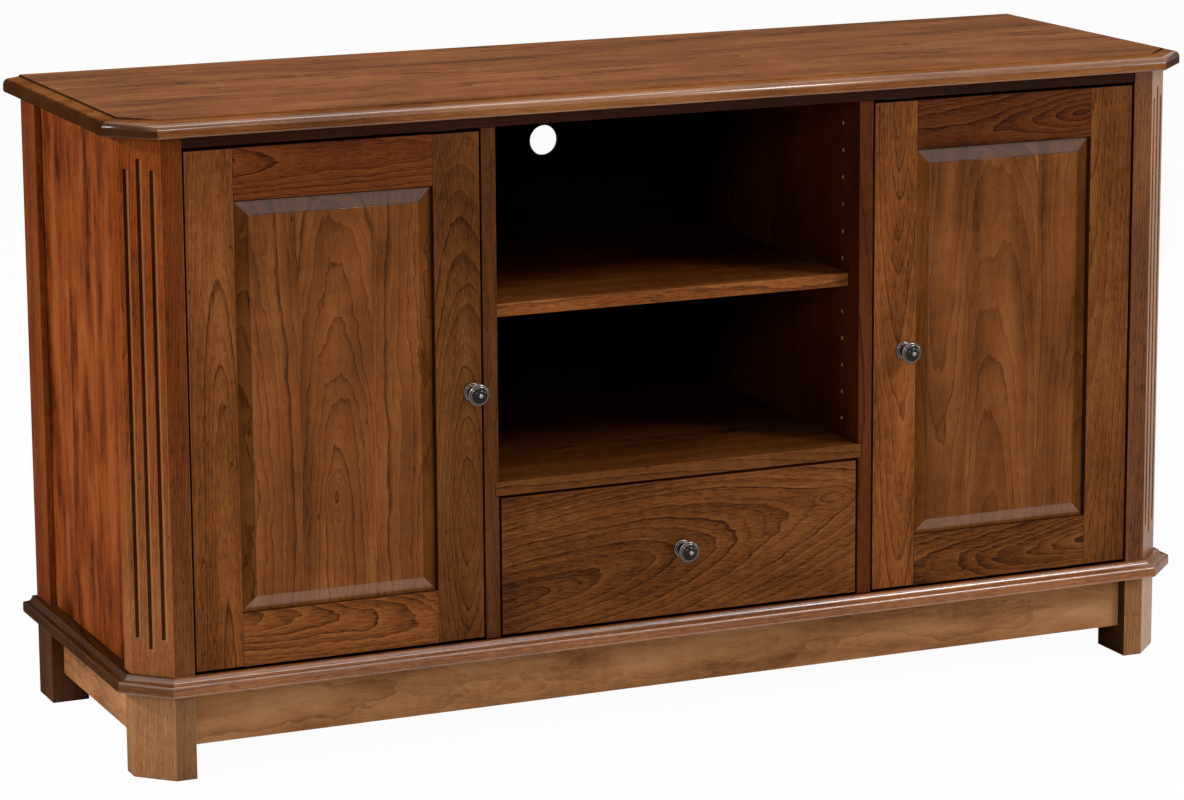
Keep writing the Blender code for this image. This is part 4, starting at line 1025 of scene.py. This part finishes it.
PEWTER = metal("antique_pewter", (0.004, 0.004, 0.0044, 1.0), (0.240, 0.212, 0.195, 1.0),
               0.16, 0.26, (420.0, 420.0, 420.0))
ZINC = metal("zinc_steel", (0.42, 0.43, 0.44, 1.0), (0.72, 0.73, 0.74, 1.0),
             0.28, 0.42, (900.0, 12.0, 900.0))
BLACKED = metal("blacked_steel", (0.004, 0.0036, 0.0034, 1.0), (0.014, 0.013, 0.012, 1.0),
                0.60, 0.75, (300.0, 300.0, 300.0))
BROWN = plastic("brown_plastic", (0.035, 0.020, 0.014, 1.0), (0.060, 0.036, 0.026, 1.0))
for node, slot in SLOT_OF.items():
    if slot == "steel":
        dress(node, BLACKED if node.endswith("pivot") else ZINC, STEEL_ARRIS, 1)
    elif slot == "catch_plastic":
        dress(node, BROWN, CATCH_ARRIS)
print("hardware dressed")

# %% [markdown]
# ## Screws in the back
# The back panel is screwed on round its edge and down both partitions. A screw head
# is one shape many times over, so a Geometry Nodes tree makes one head, cuts a cross
# into it and sets it on every point of a mesh, each turned by chance. The result is
# then kept as plain mesh.

# %% Where the screws are
SCREW_PITCH, SCREW_INSET, HEAD_SUNK = 0.150, 0.012, 0.0002


def even_steps(start, stop):
    """Evenly spaced places from start to stop, about one pitch apart."""
    count = max(1, round((stop - start) / SCREW_PITCH))
    return [start + (stop - start) * i / count for i in range(count + 1)]


def screw_places():
    """Points on the outer face of the back panel."""
    low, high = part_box("back_panel")
    across = even_steps(low.x + SCREW_INSET, high.x - SCREW_INSET)
    up = even_steps(low.z + SCREW_INSET, high.z - SCREW_INSET)
    columns = [across[0], across[-1]]
    for node in ("left_partition", "right_partition"):
        edge_low, edge_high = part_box(node)
        columns.append((edge_low.x + edge_high.x) / 2.0)
    spots = [(x, z) for x in across for z in (up[0], up[-1])]
    spots += [(x, z) for x in columns for z in up[1:-1]]
    return [(x, high.y - HEAD_SUNK, z) for x, z in spots]


print("screws:", len(screw_places()))

# %% Screw heads
HEAD_WIDE, HEAD_NARROW, HEAD_RISE, HEAD_SIDES = 0.0035, 0.0026, 0.0013, 24
CROSS_LONG, CROSS_WIDE, CROSS_DEEP = 0.0034, 0.0008, 0.0007
QUARTER = math.pi / 2.0


def make_head(tree, radius, rise):
    """One countersunk head with a cross cut into it."""
    head = new_node(tree, "GeometryNodeMeshCone")
    head.inputs["Vertices"].default_value = HEAD_SIDES
    head.inputs["Radius Top"].default_value = HEAD_NARROW
    feed(radius, head.inputs["Radius Bottom"])
    feed(rise, head.inputs["Depth"])
    cut = new_node(tree, "GeometryNodeMeshBoolean", operation="DIFFERENCE", solver="EXACT")
    feed(head.outputs["Mesh"], cut.inputs["Mesh 1"])
    for size in ((CROSS_LONG, CROSS_WIDE), (CROSS_WIDE, CROSS_LONG)):
        bar = new_node(tree, "GeometryNodeMeshCube")
        bar.inputs["Size"].default_value = (*size, 2.0 * CROSS_DEEP)
        lift = new_node(tree, "GeometryNodeTransform")
        feed(bar.outputs["Mesh"], lift.inputs["Geometry"])
        lift.inputs["Translation"].default_value = (0.0, 0.0, HEAD_RISE)
        feed(lift.outputs["Geometry"], cut.inputs["Mesh 2"])
    return cut.outputs["Mesh"]


def make_screw_tree():
    """Set a cross-head screw on every point, facing backwards."""
    tree = bpy.data.node_groups.new("screws", "GeometryNodeTree")
    for label, way, kind in (
            ("Geometry", "INPUT", "NodeSocketGeometry"), ("Head Radius", "INPUT", VALUE),
            ("Head Rise", "INPUT", VALUE), ("Paint", "INPUT", "NodeSocketMaterial"),
            ("Geometry", "OUTPUT", "NodeSocketGeometry")):
        tree.interface.new_socket(label, in_out=way, socket_type=kind)
    enter = new_node(tree, "NodeGroupInput").outputs
    spread = new_node(tree, "GeometryNodeInstanceOnPoints")
    feed(enter["Geometry"], spread.inputs["Points"])
    feed(make_head(tree, enter["Head Radius"], enter["Head Rise"]), spread.inputs["Instance"])
    spread.inputs["Rotation"].default_value = (-QUARTER, 0.0, 0.0)
    chance = new_node(tree, "FunctionNodeRandomValue", data_type="FLOAT_VECTOR")
    chance.inputs["Min"].default_value = (0.0, 0.0, 0.0)
    chance.inputs["Max"].default_value = (0.0, 0.0, QUARTER)
    chance.inputs["Seed"].default_value = CHANCE_SEED
    turn = new_node(tree, "GeometryNodeRotateInstances")
    feed(spread.outputs["Instances"], turn.inputs["Instances"])
    feed(chance.outputs["Value"], turn.inputs["Rotation"])
    real = new_node(tree, "GeometryNodeRealizeInstances")
    feed(turn.outputs["Instances"], real.inputs["Geometry"])
    paint = new_node(tree, "GeometryNodeSetMaterial")
    feed(real.outputs["Geometry"], paint.inputs["Geometry"])
    feed(enter["Paint"], paint.inputs["Material"])
    feed(paint.outputs["Geometry"], new_node(tree, "NodeGroupOutput").inputs["Geometry"])
    return tree


def make_screws():
    """All screw heads of the back as one mesh that rides with the case."""
    points = bpy.data.meshes.new("screw_places")
    points.from_pydata(screw_places(), [], [])
    holder = add("screw_places", points)
    tree = make_screw_tree()
    grown = holder.modifiers.new("screws", "NODES")
    grown.node_group = tree
    values = {"Head Radius": HEAD_WIDE, "Head Rise": HEAD_RISE, "Paint": ZINC}
    for socket in tree.interface.items_tree:
        if socket.in_out == "INPUT" and socket.name in values:
            grown[socket.identifier] = values[socket.name]
    mesh = bpy.data.meshes.new_from_object(
        holder.evaluated_get(bpy.context.evaluated_depsgraph_get()))
    bpy.data.objects.remove(holder)
    made = add("back_screws", mesh)
    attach(made, BODY_OF["back_panel"])
    return made


screws = make_screws()
print("screw heads with", len(screws.data.polygons), "faces in all")

# %% [markdown]
# ## Turned knobs
# Each knob is a small turning: a stepped rosette against the wood, a waist, and
# a domed head with two fine rings and a button in the middle. A profile spun
# round its axis is how a lathe makes it, so that is how it is made here, from
# arcs and straight steps. The outside corners are marked as rubbed bright.

# %% Profile of a knob
KNOB_BASE, KNOB_HEAD, KNOB_OUT = 0.0120, 0.0142, 0.0315
BUTTON_FOOT = 0.0279


def swing(across, up, radius, start, end, count, rubbed):
    """Points on an arc of the profile, angles in degrees."""
    angles = [math.radians(start + (end - start) * i / (count - 1)) for i in range(count)]
    return [(across + radius * math.cos(a), up + radius * math.sin(a), rubbed) for a in angles]


def knob_profile():
    """(radius, height, rubbed) points from the wood to the middle of the head."""
    chain = [(KNOB_BASE, 0.0, 0.2)]
    chain += swing(KNOB_BASE - 0.0010, 0.0012, 0.0010, 0.0, 80.0, 5, 0.8)
    chain += [(0.0106, 0.0023, 0.0), (0.0101, 0.0023, 0.0)]
    chain += swing(0.0094, 0.0029, 0.0007, -50.0, 80.0, 5, 0.6)
    chain += [(0.0089, 0.0038, 0.0)]
    chain += swing(0.0133, 0.0106, 0.0080, 236.0, 122.0, 15, 0.0)
    chain += swing(KNOB_HEAD - 0.0016, 0.0206, 0.0016, -62.0, 78.0, 9, 0.6)
    chain += [(0.0123, 0.0225, 0.0), (0.0118, 0.0225, 0.0)]
    chain += swing(0.0110, 0.0232, 0.0008, -30.0, 80.0, 5, 0.5)
    chain += [(0.0105, 0.0241, 0.0)]
    chain += swing(0.0012, 0.0175, 0.0114, 37.0, 75.0, 9, 0.05)
    chain += [(0.0039, 0.0283, 0.0)]
    chain += swing(0.0, BUTTON_FOOT, KNOB_OUT - BUTTON_FOOT, 12.0, 90.0, 8, 1.0)
    return chain


print("knob profile of", len(knob_profile()), "points")

# %% Turned knobs
TURNS = 72


def turn_knob(node):
    """A knob on the axis of its solid, its foot where the solid's foot is."""
    low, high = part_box(node)
    middle = (low + high) / 2.0
    chain = knob_profile()
    bm = bmesh.new()
    rubbed = bm.faces.layers.float.new(WORN_AND_HIGHLIGHT)
    angles = [math.tau * i / TURNS for i in range(TURNS)]
    rings = [[bm.verts.new((middle.x + r * math.cos(t), high.y - h, middle.z + r * math.sin(t)))
              for t in angles] for r, h, _ in chain[:-1]]
    tip = bm.verts.new((middle.x, high.y - chain[-1][1], middle.z))
    foot = bm.verts.new((middle.x, high.y, middle.z))
    pairs = [(i, (i + 1) % TURNS) for i in range(TURNS)]
    for lower, upper, point in zip(rings, rings[1:], chain):
        for i, j in pairs:
            bm.faces.new((lower[i], lower[j], upper[j], upper[i]))[rubbed] = point[2]
    for i, j in pairs:
        bm.faces.new((rings[-1][i], rings[-1][j], tip))[rubbed] = chain[-1][2]
        bm.faces.new((rings[0][j], rings[0][i], foot))
    bmesh.ops.recalc_face_normals(bm, faces=bm.faces)
    for face in bm.faces:
        face.smooth = True
    for edge in bm.edges:
        edge.smooth = edge.calc_face_angle() < SOFT
    return show(node + "_finished", bm, PEWTER, node)


knobs = [turn_knob(node) for node, slot in SLOT_OF.items() if slot == "pewter"]
print("knobs:", len(knobs), "with", len(knobs[0].data.polygons), "faces each")

# %% [markdown]
# ## Studio
# A plain pale floor, a hard lamp from the left that rakes the flutes, two soft ones
# high at the left and right front that reach into the bay, a long low one from the
# right that glints along the panels' bevels, a weak one that lights the right end,
# and one overhead. The floor and the world look white to the camera and in
# reflections, but they light the console no more than a plain studio would.

# %% Floor and world
SEEN_WHITE = ("Is Camera Ray", "Is Glossy Ray", "Is Transmission Ray")
FLOOR_SIZE = 30.0
FLOOR_GREY, FLOOR_ROUGH, FLOOR_WHITE = (0.86, 0.86, 0.86, 1.0), 0.9, 0.97
FILL = 0.12


def seen(tree):
    """1 for rays that look at the backdrop, 0 for rays that light the object."""
    path = new_node(tree, "ShaderNodeLightPath").outputs
    share = Wire(path[SEEN_WHITE[0]])
    for label in SEEN_WHITE[1:]:
        share = calc("MAXIMUM", share, path[label])
    return share


def make_floor():
    """A pale floor that keeps the shadow."""
    bm = bmesh.new()
    bmesh.ops.create_grid(bm, x_segments=1, y_segments=1, size=FLOOR_SIZE / 2.0)
    floor = add("studio_floor", mesh_of("studio_floor", bm))
    paint, tree, shader = new_paint("studio_floor")
    shader.inputs["Base Color"].default_value = FLOOR_GREY
    shader.inputs["Roughness"].default_value = FLOOR_ROUGH
    shader.inputs["Specular IOR Level"].default_value = 0.0
    glow = new_node(tree, "ShaderNodeEmission")
    blend = new_node(tree, "ShaderNodeMixShader")
    feed(seen(tree) * FLOOR_WHITE, blend.inputs[0])
    feed(shader.outputs[0], blend.inputs[1])
    feed(glow.outputs[0], blend.inputs[2])
    feed(blend.outputs[0], tree.nodes["Material Output"].inputs["Surface"])
    floor.data.materials.append(paint)


def make_world():
    """A world that is white to look at and a weak fill to the object."""
    world = bpy.data.worlds.new("studio")
    world.use_nodes = True
    scene.world = world
    sky = world.node_tree.nodes["Background"].inputs
    feed(seen(world.node_tree) * (1.0 - FILL) + FILL, sky["Strength"])
    sky["Color"].default_value = (1.0, 1.0, 1.0, 1.0)


make_floor()
make_world()
print("floor of", FLOOR_SIZE, "m and a fill of", FILL)

# %% Lamps
def lamp(name, place, target, size, power):
    """A soft rectangular lamp aimed at a point."""
    data = bpy.data.lights.new(name, "AREA")
    data.shape = "RECTANGLE"
    data.size, data.size_y = size
    data.energy = power
    made = add(name, data)
    made.location = place
    made.rotation_euler = (Vector(target) - Vector(place)).to_track_quat("-Z", "Y").to_euler()


lamp("raking_lamp", (-3.41, 0.95, 1.95), (-0.72, -0.15, 0.62), (0.30, 0.30), 66.0)
lamp("left_lamp", (-1.75, -3.7, 2.0), (0.1, -0.1, 0.45), (0.7, 0.7), 33.0)
lamp("right_lamp", (2.3, -2.65, 2.85), (0.1, -0.1, 0.45), (0.8, 0.8), 62.0)
lamp("bevel_lamp", (1.45, -3.15, 0.70), (0.1, -0.2, 0.45), (2.0, 0.25), 10.5)
lamp("right_end_lamp", (3.4, -0.6, 1.0), (0.75, -0.2, 0.45), (0.8, 0.8), 14.0)
lamp("overhead_lamp", (-0.15, -0.4, 3.0), (-0.15, 0.0, 0.8), (2.2, 0.9), 36.0)
scene.view_settings.view_transform = "Standard"
print("lamps:", len(bpy.data.lights))
